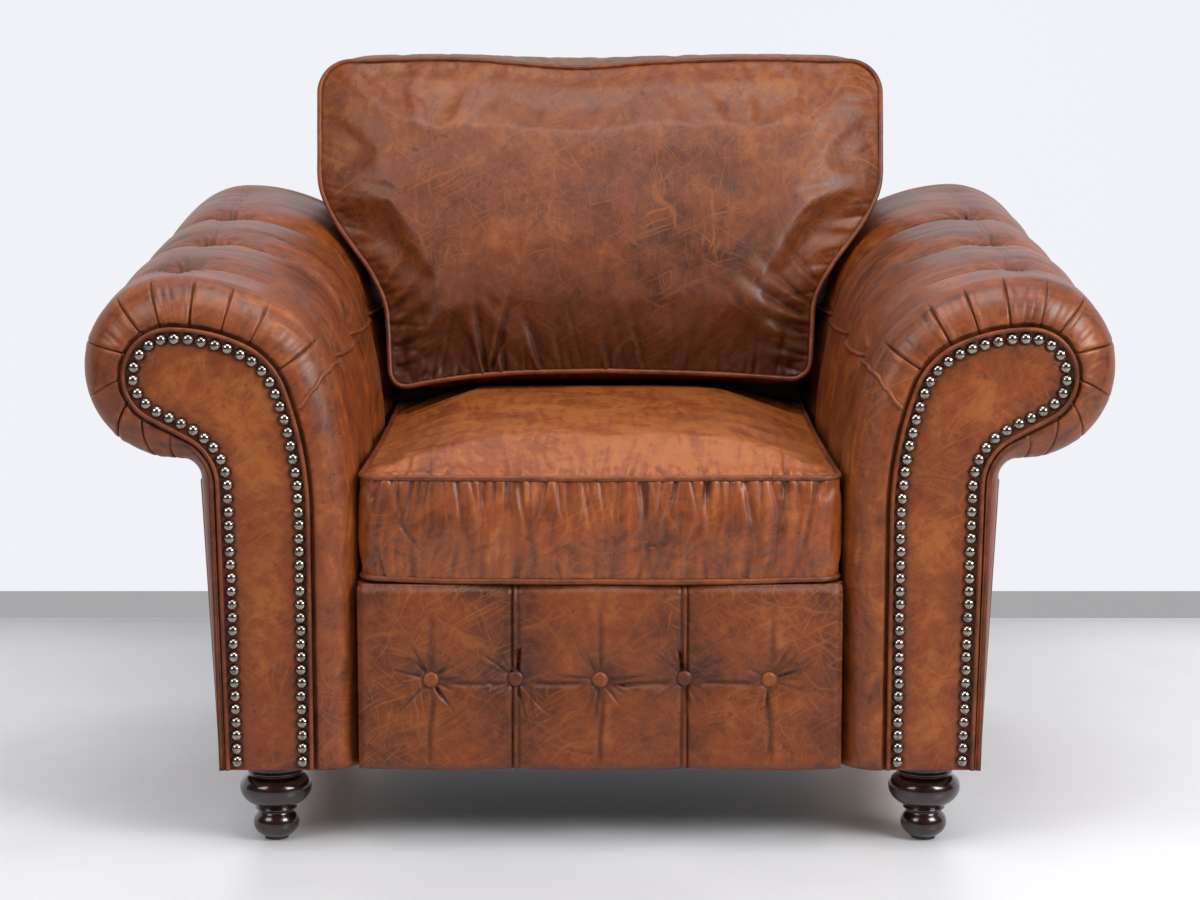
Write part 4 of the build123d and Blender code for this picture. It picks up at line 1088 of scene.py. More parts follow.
BACK_FOOT_Z, BACK_HEAD_Z = 0.4796, 0.9055
CUSHION_LEAN, UNIT_LEAN = math.radians(17), math.radians(7)
WIDTH_LEVELS = (0.463, 0.493, 0.590, 0.629, 0.662, 0.692, 0.730, 0.745, 0.91)
HALF_WIDTHS = (0.272, 0.277, 0.283, 0.303, 0.327, 0.351, 0.371, 0.375, 0.3765)


def back_half(z):
    """Half width of the back cushion's front at a height, wide above the arms."""
    steps = (-0.018, -0.012, -0.006, 0.0, 0.006, 0.012, 0.018)
    return sum(np.interp(z + step, WIDTH_LEVELS, HALF_WIDTHS) for step in steps) / len(steps)


def cushion_front_y(z):
    """Front plane of the back cushion, leaning back."""
    return depth(0.515) + (z - BACK_FOOT_Z) * math.tan(CUSHION_LEAN)


def back_lean_y(z, behind=0.0):
    """Front of the back unit, upright up to the rails and leaning back above."""
    return depth(0.6995 + behind) + np.maximum(0, z - 0.300) * math.tan(UNIT_LEAN)


def lower_bow(u):
    """How far the lower edge of the back cushion hangs above its corners' level."""
    return 0.0215 - np.where(u < 0, 0.0245 * np.abs(u) ** 2.6, 0.0125 * u ** 2)


def cushion_outline(u, v, rear):
    """Front view of the back cushion: x and z of shares across and up, for its front or rear edge."""
    low, high = (0.463, 0.9045) if rear else (BACK_FOOT_Z, BACK_HEAD_Z)
    z = low + v * (high - low)
    half = back_half(z) - (0.006 if rear else 0)
    x = u * half
    bow = 0.0 if rear else lower_bow(u)
    dip = 0.0 if rear else -0.0085 * bell(x + 0.030, 0.085) + 0.003 * bell(np.abs(x) - 0.21, 0.08)
    wide, z = rounded(x, z, half, high, low, 0.042, 0.024)
    return wide, z + dip * smooth_step(v, 0.75, 1) + bow * (1 - np.asarray(v)) ** 3


BACK_FOLDS = (((-0.148, 0.486), (-0.165, 0.622), 0.0068, 0.0042, 0.06),
              ((-0.146, 0.500), (-0.112, 0.626), 0.0080, 0.0046, -0.08),
              ((-0.124, 0.492), (-0.131, 0.560), 0.0056, 0.0040, 0.05),
              ((-0.076, 0.500), (-0.102, 0.606), 0.0044, 0.0046, 0.05),
              ((-0.050, 0.502), (-0.060, 0.590), 0.0030, 0.0044, 0.04),
              ((0.014, 0.500), (0.006, 0.560), 0.0036, 0.0042, 0.04),
              ((0.060, 0.500), (0.036, 0.620), 0.0024, 0.0048, 0.05),
              ((0.112, 0.498), (0.126, 0.585), 0.0026, 0.0046, -0.05),
              ((0.276, 0.570), (0.168, 0.648), 0.0044, 0.0066, 0.16),
              ((0.280, 0.588), (0.196, 0.672), 0.0038, 0.0058, 0.14),
              ((0.276, 0.548), (0.190, 0.592), 0.0036, 0.0058, 0.14),
              ((0.272, 0.522), (0.196, 0.548), 0.0034, 0.0050, 0.12),
              ((0.266, 0.500), (0.216, 0.520), 0.0036, 0.0040, 0.10),
              ((0.292, 0.612), (0.236, 0.690), 0.0026, 0.0052, 0.10),
              ((-0.276, 0.580), (-0.205, 0.652), 0.0040, 0.0060, -0.14),
              ((-0.278, 0.556), (-0.196, 0.612), 0.0040, 0.0058, -0.14),
              ((-0.274, 0.532), (-0.200, 0.566), 0.0036, 0.0050, -0.12),
              ((-0.268, 0.506), (-0.206, 0.532), 0.0036, 0.0044, -0.10),
              ((-0.286, 0.606), (-0.236, 0.676), 0.0028, 0.0054, -0.10),
              ((-0.246, 0.486), (-0.214, 0.510), 0.0034, 0.0036, 0.10),
              ((-0.232, 0.484), (-0.196, 0.520), 0.0030, 0.0040, 0.10),
              ((-0.190, 0.486), (-0.176, 0.536), 0.0026, 0.0040, 0.06))


def back_zones(u, v, w):
    """Masks of the back cushion's front, rear, rim and band."""
    is_front, is_rear = w < 0.001, w > 0.999
    rim = (np.abs(u) > 0.9999) | (v < 0.0001) | (v > 0.9999)
    return is_front, is_rear, rim, rim & ~is_front & ~is_rear


def front_folds(u, x, z, seed):
    """Folds of the back cushion's front: the pulled ones, and gathers along every edge."""
    folds = 0 * x
    for fold in BACK_FOLDS:
        folds += pull(x, z, *fold)
    rise = z - BACK_FOOT_Z - lower_bow(u)
    folds += puckers(x, rise, (-0.255, 0.255), 0.0190, 0.030, 0.0026, 0.0032, seed + 2)
    folds += puckers(x, rise, (-0.24, 0.25), 0.060, 0.075, 0.0020, 0.0044, seed + 22)
    low = 0.35 + 0.65 * (1 - smooth_step(z, 0.64, 0.80))
    for sign in (-1, 1):
        from_edge = np.maximum(back_half(z) - sign * x, 0)
        places = spaced(0.49, 0.88, 0.021, seed + 5 + sign)
        folds += gathers(z, from_edge, places, 0.036, 0.0026, 0.0032, seed + 7 + sign) * low
    from_head = np.maximum(BACK_HEAD_Z - z, 0)
    return folds + 0.6 * puckers(x, from_head, (-0.33, 0.33), 0.042, 0.024, 0.0016, 0.0050, seed + 9)


def make_back_cushion(sizes, seed):
    """Loose back cushion, filled as cloth with its seams held: crowned front, folds pulled at its corners."""
    shares, faces = box_lattice((152, 12, 86))
    u, w, v = shares[:, 0] * 2 - 1, shares[:, 1], shares[:, 2]
    front_x, front_z = cushion_outline(u, v, False)
    rear_x, rear_z = cushion_outline(u, v, True)
    front_y, rear_y = cushion_front_y(front_z), back_lean_y(rear_z, -0.0042)
    x = front_x + (rear_x - front_x) * w
    y = front_y + (rear_y - front_y) * w
    z = front_z + (rear_z - front_z) * w
    is_front, is_rear, rim, _ = back_zones(u, v, w)
    bulge = 1 - (2 * w - 1) ** 2
    x = np.where(np.abs(u) > 0.9999, x + np.sign(u) * 0.0055 * smooth_step(v, 0.35, 0.7) * bulge, x)
    z = np.where(v > 0.9999, z + 0.0022 * bulge, z)
    crown = (1 - np.abs(u) ** 7) * (1 - np.abs(2 * v - 1) ** np.where(v < 0.5, 3.4, 7.5))
    belly = 1 + 0.12 * bell(v - 0.46, 0.28) - 0.10 * bell(v - 0.86, 0.2)
    push = np.where(is_front, sizes.back_crown * 0.90 * crown * belly, 0)
    y, z = y - math.cos(CUSHION_LEAN) * push, z + math.sin(CUSHION_LEAN) * push
    cushion = mesh_piece("back_cushion_leather", np.stack([x, y, z], 1), faces)
    swell(cushion, rim & (is_front | is_rear), 3.5, 0.010, 0.008)

    u, w, v, thick, x, y, z = finer(cushion, u, w, v, np.abs(rear_y - front_y))
    is_front, is_rear, rim, band = back_zones(u, v, w)
    edge = np.minimum(1 - np.abs(u), np.minimum(v, 1 - v) * 1.1)
    height = 0.0016 * ripple(x * 9, z * 9, 0.4, seed) + 0.0007 * ripple(x * 25, z * 25, 0.8, seed + 1)
    height = height * smooth_step(edge, 0.0, 0.10)
    pulled = np.where(is_front, front_folds(u, x, z, seed), 0)
    along = np.where(np.abs(u) > 0.9999, z, x)
    sides = puckers(along, w * thick, (-0.36, 0.90), 0.030, 0.034, 0.0026, 0.0046, seed + 11)
    sides += puckers(along, (1 - w) * thick, (-0.36, 0.90), 0.036, 0.028, 0.0020, 0.0050, seed + 13)
    height = height + pulled + np.where(band, sides, 0)
    places = coordinates(cushion) + point_normals(cushion) * height[:, None]
    tape_low, tape_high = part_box("back_cushion_zip")
    middle_y, middle_z = (tape_low.y + tape_high.y) / 2, (tape_low.z + tape_high.z) / 2
    groove = zip_groove(places[:, 0], places[:, 2], middle_z) * is_rear
    bottom = middle_y + (places[:, 2] - middle_z) * math.tan(UNIT_LEAN) - 0.0016
    places[:, 1] += groove * (bottom - places[:, 1])
    place_points(cushion, places)
    from_rim = np.minimum((1 - np.abs(u)) * 0.3, np.minimum(v, 1 - v) * 0.43)
    seam = np.where(band, np.minimum(w, 1 - w) * thick, from_rim)
    # Painted shade in the deepest folds and along the piping.
    dark = 0.6 * np.clip(-260 * (pulled + 0.0006), 0, 1) + 0.45 * (1 - smooth_step(seam, 0.001, 0.006))
    # Painted shade: the front darkens towards its lower edge.
    dark += np.where(is_front, 0.95 * (1 - smooth_step(v, 0.02, 0.46)), 0)
    # Painted highlight: the front grows paler towards its top, and on every ridge.
    wear_and_highlight = np.where(is_front, 0.20 + 0.4 * smooth_step(v, 0.45, 0.85), 0.3)
    keep_masks(cushion, dark, wear_and_highlight + 180 * height)
    return smooth(cushion)


def make_back_piping():
    """Piping round the front and rear edges of the back cushion."""
    u, v = square_loop(150)
    loops = []
    for rear in (False, True):
        x, z = cushion_outline(u, (v + 1) / 2, rear)
        y = back_lean_y(z, -0.0042) if rear else cushion_front_y(z) - 0.0004
        wave = 0.0007 * ripple(x * 18, z * 18, 0.5 + rear, 4)
        loops.append(tube("loop", np.stack([x + wave, y, z + wave], 1), PIPING_RADIUS, closed=True))
    return join(loops, "back_cushion_welt")


# Back unit behind the loose cushion

def unit_half(z):
    """Half width of the back unit: between the arms below, over them above."""
    low, high = 0.2835, 0.370
    return low + (high - low) * smooth_step(z, 0.575, 0.745)


def make_back_unit(seed):
    """Padded back behind the cushion, rounded over its top."""
    counts = (90, 14, 84)
    shares, faces = box_lattice(counts)
    u, w, v = shares[:, 0] * 2 - 1, shares[:, 1], shares[:, 2]
    low, high = DECK_TOP_Z + 0.001, 0.884
    z = low + v * (high - low)
    half = unit_half(z)
    x, z = rounded(u * half, z, half, high, low, 0.045, 0.001)
    thick, front_round, rear_round = 0.0855, 0.034, 0.026
    drop = smooth_step(z, high - front_round, high)
    over = 1 - np.sqrt(np.clip(1 - drop ** 2, 0, 1))
    y = back_lean_y(z) + front_round * over + w * (thick - (front_round + rear_round) * over)
    away = np.minimum((1 - np.abs(u)) * 0.3, (1 - v) * 0.5)
    height = 0.0014 * ripple(x * 10, z * 10, y * 10, seed) + 0.0005 * ripple(x * 30, z * 30, y * 30, seed + 1)
    height = height - 0.002 * bell(away, 0.004) * ((w < 0.01) | (w > 0.99))
    side = np.where(np.abs(u) > 0.999, 1.0, 0.0) * (0.3 + np.minimum(w, 1 - w))
    y = y + np.where(w > 0.99, -np.abs(height), 0) + np.where(w < 0.01, np.abs(height) * 0.5, 0)
    x = x + np.sign(u) * side * height
    unit = mesh_piece("back_unit_leather", np.stack([x, y, z], 1), faces)
    # Painted shade along the edges, and painted highlight over the rounded top.
    keep_masks(unit, 0.5 * bell(away, 0.005), 0.3 + 0.4 * drop)
    return smooth(unit, 80)


def make_back_panel(seed):
    """Outside back: one stretched leather panel down to the hem, with a welt round its sides and top."""
    rows = np.linspace(0, 1, 120)[:, None]
    columns = np.linspace(-1, 1, 110)[None, :]
    low, high = LEG_HEIGHT + 0.001, 0.850
    z = low + rows * (high - low) + 0 * columns
    half = unit_half(z)
    x = columns * half
    across, up = rounded(x.ravel(), z.ravel(), half.ravel(), high, low, 0.030, 0.002)
    x, z = across.reshape(x.shape), up.reshape(z.shape)
    away = np.minimum((1 - np.abs(columns)) * 0.3, np.minimum(1 - rows, rows + 0.2) * 0.75)
    puff = 0.0030 * smooth_step(away, 0, 0.10) + 0.0012 * ripple(x * 7, z * 7, 0.3, seed)
    puff = puff * smooth_step(away, 0, 0.02) + 0.0004 * ripple(x * 26, z * 26, 0.6, seed + 1)
    puff += puckers(x, np.maximum(high - z, 0), (-0.34, 0.34), 0.060, 0.040, 0.0009, 0.0060, seed + 2)
    y = back_lean_y(z, 0.0905) + puff * 0.9 - 0.0012
    panel = grid_piece("back_panel_leather", np.stack([x, y, z], -1), (0, 1, 0))
    # Painted shade along the edges, and painted highlight where the panel puffs out.
    keep_masks(panel, 0.5 * bell(away, 0.004), 0.28 + 90 * puff)
    thicken(panel, 0.0045)
    corner = 0.030
    left = [(-float(unit_half(level)), level)
            for level in low + np.linspace(0, 1, 90) * (high - corner - low)]
    left += [(-float(unit_half(high)) + corner * (1 - math.cos(turn)),
              high - corner + corner * math.sin(turn))
             for turn in np.linspace(0.1, math.pi / 2, 8)]
    path = left + [(-px, pz) for px, pz in reversed(left)]
    welt = tube("back_panel_welt", [(px, float(back_lean_y(pz, 0.0895)), pz) for px, pz in path], 0.0030)
    return smooth(panel, 70), welt


# Under the seat

def make_deck(seed):
    """Cloth deck that the seat cushion lies on, with a stitched line across it near its front."""
    counts = (90, 110, 4)
    shares, faces = box_lattice(counts)
    u, v, w = shares[:, 0] * 2 - 1, shares[:, 1] * 2 - 1, shares[:, 2]
    low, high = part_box("seat_deck")
    x = u * high.x
    y = low.y + (v + 1) / 2 * (high.y - low.y)
    z = low.z + w * (high.z - low.z)
    away = np.minimum(1 - np.abs(u), 1 - np.abs(v))
    sag = -0.0012 * smooth_step(away, 0, 0.3) + 0.0004 * ripple(x * 20, y * 20, 0.2, seed)
    stitched = -0.0010 * bell(y - (low.y + 0.085), 0.0022)
    z = z + np.where(w > 0.99, sag + stitched - 0.0012 * (1 - smooth_step(away, 0, 0.02)), 0)
    deck = mesh_piece("seat_deck_cloth", np.stack([x, y, z], 1), faces)
    return smooth(deck, 70)


def make_dust_cover(seed):
    """Thin cloth stapled under the seat, sagging a little between its edges."""
    low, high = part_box("dust_cover")
    deselect()
    bpy.ops.mesh.primitive_grid_add(x_subdivisions=70, y_subdivisions=90, size=1)
    cloth = named("dust_cloth")
    flat = coordinates(cloth) * 2
    x, y = flat[:, 0] * high.x * 0.998, (low.y + high.y) / 2 + flat[:, 1] * (high.y - low.y) * 0.499
    sag = (1 - flat[:, 0] ** 2) * (1 - flat[:, 1] ** 2)
    wave = ripple(x * 20, y * 20, 0.1, seed) * (1 - np.abs(flat[:, 0])) ** 0.5
    z = high.z - 0.0004 - 0.0022 * sag + 0.0005 * wave
    place_points(cloth, np.stack([x, y, np.minimum(z, high.z - 0.0003)], 1))
    turn_faces(cloth, (0, 0, -1))
    size = (2 * high.x * 0.998, (high.y - low.y) * 0.998)
    thicken(cloth, 0.0008, 1)
    smooth(cloth, 60)
    staples = []
    edge, rise = 0.009, Vector((0, 0, 0.0016))
    spots = [(px, py, Vector((0.005, 0, 0))) for px in np.arange(-0.25, 0.26, 0.05)
             for py in (low.y + edge, high.y - edge)]
    spots += [(px, py, Vector((0, 0.005, 0))) for py in np.arange(low.y + 0.05, high.y - 0.04, 0.05)
              for px in (-high.x + edge, high.x - edge)]
    for px, py, reach in spots:
        spot = Vector((px, py, high.z - 0.0022))
        path = [spot - reach + rise, spot - reach, spot + reach, spot + reach + rise]
        staples.append(tube("staple", path, 0.0005, sides=0))
    return cloth, join(staples, "dust_cloth_staples"), size


# Feet

FOOT_PROFILE = ((0.0150, 0.0030), (0.0176, 0.0040), (0.0240, 0.0090), (0.0270, 0.0150), (0.0275, 0.0200),
                (0.0262, 0.0262), (0.0236, 0.0300), (0.0215, 0.0320), (0.0206, 0.0342), (0.0222, 0.0356),
                (0.0250, 0.0368), (0.0252, 0.0386), (0.0226, 0.0402), (0.0260, 0.0420), (0.0340, 0.0460),
                (0.0398, 0.0525), (0.0428, 0.0600), (0.0425, 0.0665), (0.0398, 0.0725), (0.0352, 0.0766),
                (0.0318, 0.0785), (0.0312, 0.0800), (0.0330, 0.0812), (0.0334, 0.0828), (0.0322, 0.0842),
                (0.0322, 0.0869))


def make_foot(name, x, y):
    """Turned foot: a bun over a small bulb, with a ring between them, spun from its profile."""
    deselect()
    bpy.ops.mesh.primitive_circle_add(vertices=3, radius=0.01, fill_type="NOTHING")
    foot = named(name)
    mesh = foot.data
    work = bmesh.new()
    chain = [work.verts.new((0, 0, FOOT_PROFILE[0][1]))]
    chain += [work.verts.new((radius, 0, height)) for radius, height in FOOT_PROFILE]
    chain.append(work.verts.new((0, 0, FOOT_PROFILE[-1][1])))
    for start, end in zip(chain, chain[1:]):
        work.edges.new((start, end))
    work.to_mesh(mesh)
    work.free()
    with edit_mode(foot):
        bpy.ops.mesh.spin(steps=56, angle=2 * math.pi, center=(0, 0, 0), axis=(0, 0, 1))
        bpy.ops.mesh.select_all(action="SELECT")
        bpy.ops.mesh.remove_doubles(threshold=1e-5)
        bpy.ops.mesh.normals_make_consistent(inside=False)
    foot.location = (x, y, 0)
    settle(foot)
    add_modifier(foot, "SUBSURF", levels=1, render_levels=1)
    return smooth(foot, 60)


# Zips

def make_teeth(name, tape, rake):
    """Two rows of zip teeth along the middle of a tape that leans back by rake degrees."""
    low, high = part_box(tape)
    pitch, half_gap = 0.0022, 0.0011
    lean = math.radians(rake)
    up, out = (0, math.sin(lean), math.cos(lean)), (0, math.cos(lean), -math.sin(lean))
    length = high.x - low.x
    start = np.array([low.x, (low.y + high.y) / 2, (low.z + high.z) / 2]) + np.array(out) * 0.00075
    deselect()
    bpy.ops.mesh.primitive_cube_add(size=1)
    tooth = named("tooth")
    places = coordinates(tooth) * np.array([0.0012, 0.0026, 0.0012])
    place_points(tooth, places)
    add_modifier(tooth, "BEVEL", width=0.0002, segments=1)
    base = coordinates(tooth)
    faces = [tuple(face.vertices) for face in tooth.data.polygons]
    bpy.data.objects.remove(tooth)
    points, all_faces = [], []
    axes = np.array([(1, 0, 0), up, out], float)
    for number in range(int(length / pitch)):
        shift = np.array([number * pitch, half_gap if number % 2 else -half_gap, 0.0006])
        all_faces += [tuple(index + len(points) for index in face) for face in faces]
        points += list((base + shift) @ axes + start)
    teeth = mesh_piece(name, points, all_faces)
    return outwards(teeth)


# Materials

def linear(code):
    """A colour written as six hex digits, as Blender's colours are."""
    parts = [int(code[place:place + 2], 16) / 255 for place in (0, 2, 4)]
    return (*[part / 12.92 if part <= 0.04045 else ((part + 0.055) / 1.055) ** 2.4 for part in parts], 1.0)


def feed(socket, value):
    """Links a node's result to an input, or writes a number or colour there."""
    value = value.socket if isinstance(value, Result) else value
    if isinstance(value, bpy.types.NodeSocket):
        socket.id_data.links.new(value, socket)
    else:
        socket.default_value = value


def node(tree, kind, inputs=None, **values):
    """Adds a node with its settings, and the numbers or results of its inputs."""
    added = tree.nodes.new(kind)
    for key, value in values.items():
        setattr(added, key, value)
    for key, value in (inputs or {}).items():
        feed(added.inputs[key], value)
    return added


class Result:
    """A node's output: its sums and products are written as for numbers, and add the nodes for them."""

    def __init__(self, socket):
        self.socket = socket
        self.tree = socket.id_data

    def maths(self, operation, other=0.0):
        """A Math node's result."""
        return Result(node(self.tree, "ShaderNodeMath", {0: self, 1: other}, operation=operation).outputs[0])

    def vector(self, operation, other):
        """A Vector Math node's result."""
        added = node(self.tree, "ShaderNodeVectorMath", {0: self, 1: other}, operation=operation)
        return Result(added.outputs[0])

    def __add__(self, other):
        return self.maths("ADD", other)

    def __sub__(self, other):
        return self.maths("SUBTRACT", other)

    def __mul__(self, other):
        return self.maths("MULTIPLY", other)

    def most(self, other):
        """The larger of two."""
        return self.maths("MAXIMUM", other)


def object_place(tree):
    """The place on the object, which every pattern is laid by."""
    return Result(node(tree, "ShaderNodeTexCoord").outputs["Object"])


def mask(tree, name):
    """A number kept at the mesh's points."""
    return Result(node(tree, "ShaderNodeAttribute", attribute_name=name).outputs["Fac"])


def mixed(share, first, second):
    """A colour between two others."""
    tree = next(part.tree for part in (share, first, second) if isinstance(part, Result))
    return Result(node(tree, "ShaderNodeMix", {0: share, 6: first, 7: second}, data_type="RGBA").outputs[2])


def noise(vector, scale, detail=3.0, rough=0.55, distortion=0.0):
    """A noise texture's value."""
    inputs = {"Vector": vector, "Scale": scale, "Detail": detail, "Roughness": rough,
              "Distortion": distortion}
    return Result(node(vector.tree, "ShaderNodeTexNoise", inputs).outputs[0])


def span(value, low, high, to_low=0.0, to_high=1.0):
    """A value's place between two others, smoothed and clamped."""
    inputs = {"Value": value, "From Min": low, "From Max": high, "To Min": to_low, "To Max": to_high}
    return Result(node(value.tree, "ShaderNodeMapRange", inputs, interpolation_type="SMOOTHSTEP").outputs[0])


def cells(vector, scale, feature):
    """Distances in a pattern of cells."""
    inputs = {"Vector": vector, "Scale": scale, "Randomness": 1.0}
    return Result(node(vector.tree, "ShaderNodeTexVoronoi", inputs, feature=feature).outputs["Distance"])


def drifted(vector, amount, scale):
    """The place moved a little by noise, so that straight patterns wander."""
    cloud = node(vector.tree, "ShaderNodeTexNoise", {"Vector": vector, "Scale": scale, "Detail": 2.0})
    centred = Result(cloud.outputs["Color"]).vector("SUBTRACT", (0.5, 0.5, 0.5))
    return vector.vector("ADD", centred.vector("MULTIPLY", (amount, amount, amount)))


def strokes(vector, turn, length, wide, low, high):
    """Thin straight marks: noise drawn out along two axes and fine across the third."""
    inputs = {"Vector": vector, "Rotation": turn, "Scale": (length, length, wide)}
    turned = Result(node(vector.tree, "ShaderNodeMapping", inputs, vector_type="TEXTURE").outputs[0])
    return span(noise(turned, 1.0, 1.0, 0.5), low, high)


def new_group(name, **inputs):
    """An empty node group, its inputs by name and the place on the object."""
    group = bpy.data.node_groups.new(name, "ShaderNodeTree")
    for label, value in inputs.items():
        kind = "Float" if isinstance(value, float) else {3: "Vector", 4: "Color"}[len(value)]
        socket = group.interface.new_socket(label, in_out="INPUT", socket_type="NodeSocket" + kind)
        socket.default_value = value
    for label, kind in (("Color", "Color"), ("Roughness", "Float"), ("Height", "Float")):
        group.interface.new_socket(label, in_out="OUTPUT", socket_type="NodeSocket" + kind)
    given = node(group, "NodeGroupInput")
    return group, {label: Result(given.outputs[label]) for label in inputs}, object_place(group)


def close_group(group, colour, rough, height):
    """Links what a group works out to its outputs."""
    node(group, "NodeGroupOutput", {"Color": colour, "Roughness": rough, "Height": height})
    return group


def aged_leather_group():
    """Pull-up leather: mottled dye, fine pale scratches, small dark stains, grain, paler worn places with
    painted highlight, and creases with painted shade.
    """
    group, given, place = new_group(
        "Aged leather", Dark=linear("4a2513"), Middle=linear("8a4b2a"), Light=linear("b4754a"),
        Shift=(0.0, 0.0, 0.0), Marks=1.0, Grain=1.0, Streaks=(8.0, 8.0, 8.0), Streaked=0.0)
    place = place.vector("ADD", given["Shift"])
    dark_and_shade, wear_and_highlight = mask(group, "dark_and_shade"), mask(group, "wear_and_highlight")
    drift = drifted(place, 0.040, 9.0)

    middle = noise(drift, 21.0, 4.0, 0.62, 0.3)
    streak = noise(drift.vector("MULTIPLY", given["Streaks"]), 1.0, 4.0, 0.6) - 0.5
    streak = streak * given["Streaked"]
    cloud = noise(place, 5.0, 2.0, 0.5, 0.5) * 0.22 + middle * 0.43 + noise(drift, 78.0, 4.0, 0.68) * 0.35
    # The mask of wear and painted highlight lightens raised places.
    cloud = cloud + (wear_and_highlight - 0.35) * 0.22 + streak
    colour = mixed(span(cloud, 0.30, 0.56), given["Dark"], given["Middle"])
    colour = mixed(span(cloud, 0.52, 0.68) * 0.60, colour, given["Light"])

    turns = ((0.4, 0.5, 0.1), (1.2, -0.6, 0.4), (0.3, 1.3, -0.5), (-0.7, 0.9, 1.0), (0.9, -1.2, 0.2),
             (-0.3, -0.4, 0.8))
    marks = 0.0
    for number, turn in enumerate(turns):
        length, wide = (0.110, 0.0026) if number % 2 else (0.060, 0.0017)
        marks = strokes(drift, turn, length, wide, 0.60, 0.76).most(marks)
    marks = marks * span(noise(place, 9.0, 2.0), 0.38, 0.62, 0.35, 1.0)
    net = span(cells(drifted(place, 0.018, 30.0), 52.0, "DISTANCE_TO_EDGE"), 0.035, 0.0)
    net = net * span(noise(place, 10.0, 2.0, 0.5), 0.50, 0.66, 0.0, 0.7)
    marks = marks.most(net) * given["Marks"]
    colour = mixed(marks * 0.36, colour, given["Light"])

    stains = span(noise(place, 95.0, 2.0, 0.55), 0.60, 0.72) * span(noise(place, 13.0, 2.0), 0.44, 0.62)
    cracks = strokes(drift, (0.8, 0.2, -0.9), 0.05, 0.0024, 0.62, 0.76) * 0.34
    deep = mixed(0.5, given["Dark"], (0.010, 0.0032, 0.0012, 1.0))
    # The other mask darkens seam lines and, as painted shade, creases and hollows.
    colour = mixed((stains * 0.55).most(cracks).most(dark_and_shade * 0.72), colour, deep)

    rough = middle * 0.20 + marks * 0.10 + stains * 0.12 + 0.34
    grain = cells(place, 620.0, "SMOOTH_F1") * given["Grain"] * 0.20
    height = grain + noise(drift, 85.0, 5.0, 0.66, 0.5) * 0.85 - marks * 0.16 + streak * 1.6 - cracks * 0.9
    return close_group(group, colour, rough, height)


def wood_group():
    """Straight wood grain with darker pores."""
    group, given, place = new_group("Wood grain", Dark=linear("8d6a42"), Light=linear("c8a877"),
                                    Stretch=(8.0, 1.0, 8.0), Rough=0.55)
    place = place.vector("MULTIPLY", given["Stretch"])
    pores = noise(place, 70.0, 3.0, 0.7, 0.2)
    share = noise(place, 9.0, 4.0, 0.6, 1.2) * 0.7 + pores * 0.3
    colour = mixed(span(share, 0.35, 0.65), given["Dark"], given["Light"])
    return close_group(group, colour, given["Rough"] + pores * 0.12, share)


def cloth_group():
    """Plain weave: threads over and under, with uneven yarn."""
    group, given, place = new_group("Plain weave", Color=linear("2c2a28"), Pitch=900.0)
    parts = node(group, "ShaderNodeSeparateXYZ", {0: place}).outputs
    turns = [Result(parts[axis]) * given["Pitch"] + noise(place, 30.0, 2.0) * 2.0 for axis in (0, 1)]
    across, down = (turn.maths("SINE").maths("ABSOLUTE") for turn in turns)
    yarn = noise(place, 160.0, 3.0)
    level = across.most(down) * 0.6 + yarn * 0.4
    shaded = mixed(span(level, 0.25, 0.95), (0.02, 0.02, 0.02, 1.0), given["Color"])
    return close_group(group, mixed(0.75, given["Color"], shaded), yarn * 0.2 + 0.72, level)


def tarnish_group():
    """Polished metal with darker tarnish in patches and fine rubbing marks."""
    group, given, place = new_group("Tarnished metal", Bright=linear("9a9187"), Tarnish=linear("1a1512"),
                                    Rough=0.2)
    # The mesh's mask adds the nails' dark rims: tarnish and painted shade.
    patch = (span(noise(place, 190.0, 3.0, 0.6), 0.40, 0.68) * 0.55).most(mask(group, "dark_and_shade"))
    rub = noise(place, 1600.0, 2.0, 0.6)
    colour = mixed(patch, given["Bright"], given["Tarnish"])
    return close_group(group, colour, given["Rough"] + patch * 0.16 + rub * 0.06, rub)


def new_material(name):
    """An empty material, its tree and its shader."""
    material = bpy.data.materials.new(name)
    material.use_nodes = True
    return material, material.node_tree, material.node_tree.nodes["Principled BSDF"]


def finish_material(name, group, values, bump, bump_depth, **shader):
    """A material from a node group: its colour, roughness and height, and the shader's own settings."""
    material, tree, surface = new_material(name)
    effect = node(tree, "ShaderNodeGroup", node_tree=group)
    for key, value in values.items():
        feed(effect.inputs[key], value)
    relief = node(tree, "ShaderNodeBump",
                  {"Strength": bump, "Distance": bump_depth, "Height": effect.outputs["Height"]})
    feed(surface.inputs["Base Color"], effect.outputs["Color"])
    feed(surface.inputs["Roughness"], effect.outputs["Roughness"])
    feed(surface.inputs["Normal"], relief.outputs["Normal"])
    for key, value in shader.items():
        feed(surface.inputs[key.replace("_", " ").title().replace("Ior", "IOR")], value)
    return material


def plain_material(name, colour, rough, spread):
    """A material with uneven colour and roughness, for foam and felt."""
    material, tree, surface = new_material(name)
    place = object_place(tree)
    patch = noise(place, spread, 3.0)
    darker = (*(part * 0.6 for part in colour[:3]), 1.0)
    relief = node(tree, "ShaderNodeBump",
                  {"Strength": 0.3, "Distance": 0.0003, "Height": noise(place, spread * 12)})
    feed(surface.inputs["Base Color"], mixed(span(patch, 0.3, 0.7), darker, colour))
    feed(surface.inputs["Roughness"], patch * 0.15 + rough)
    feed(surface.inputs["Normal"], relief.outputs["Normal"])
    return material


materials = {}


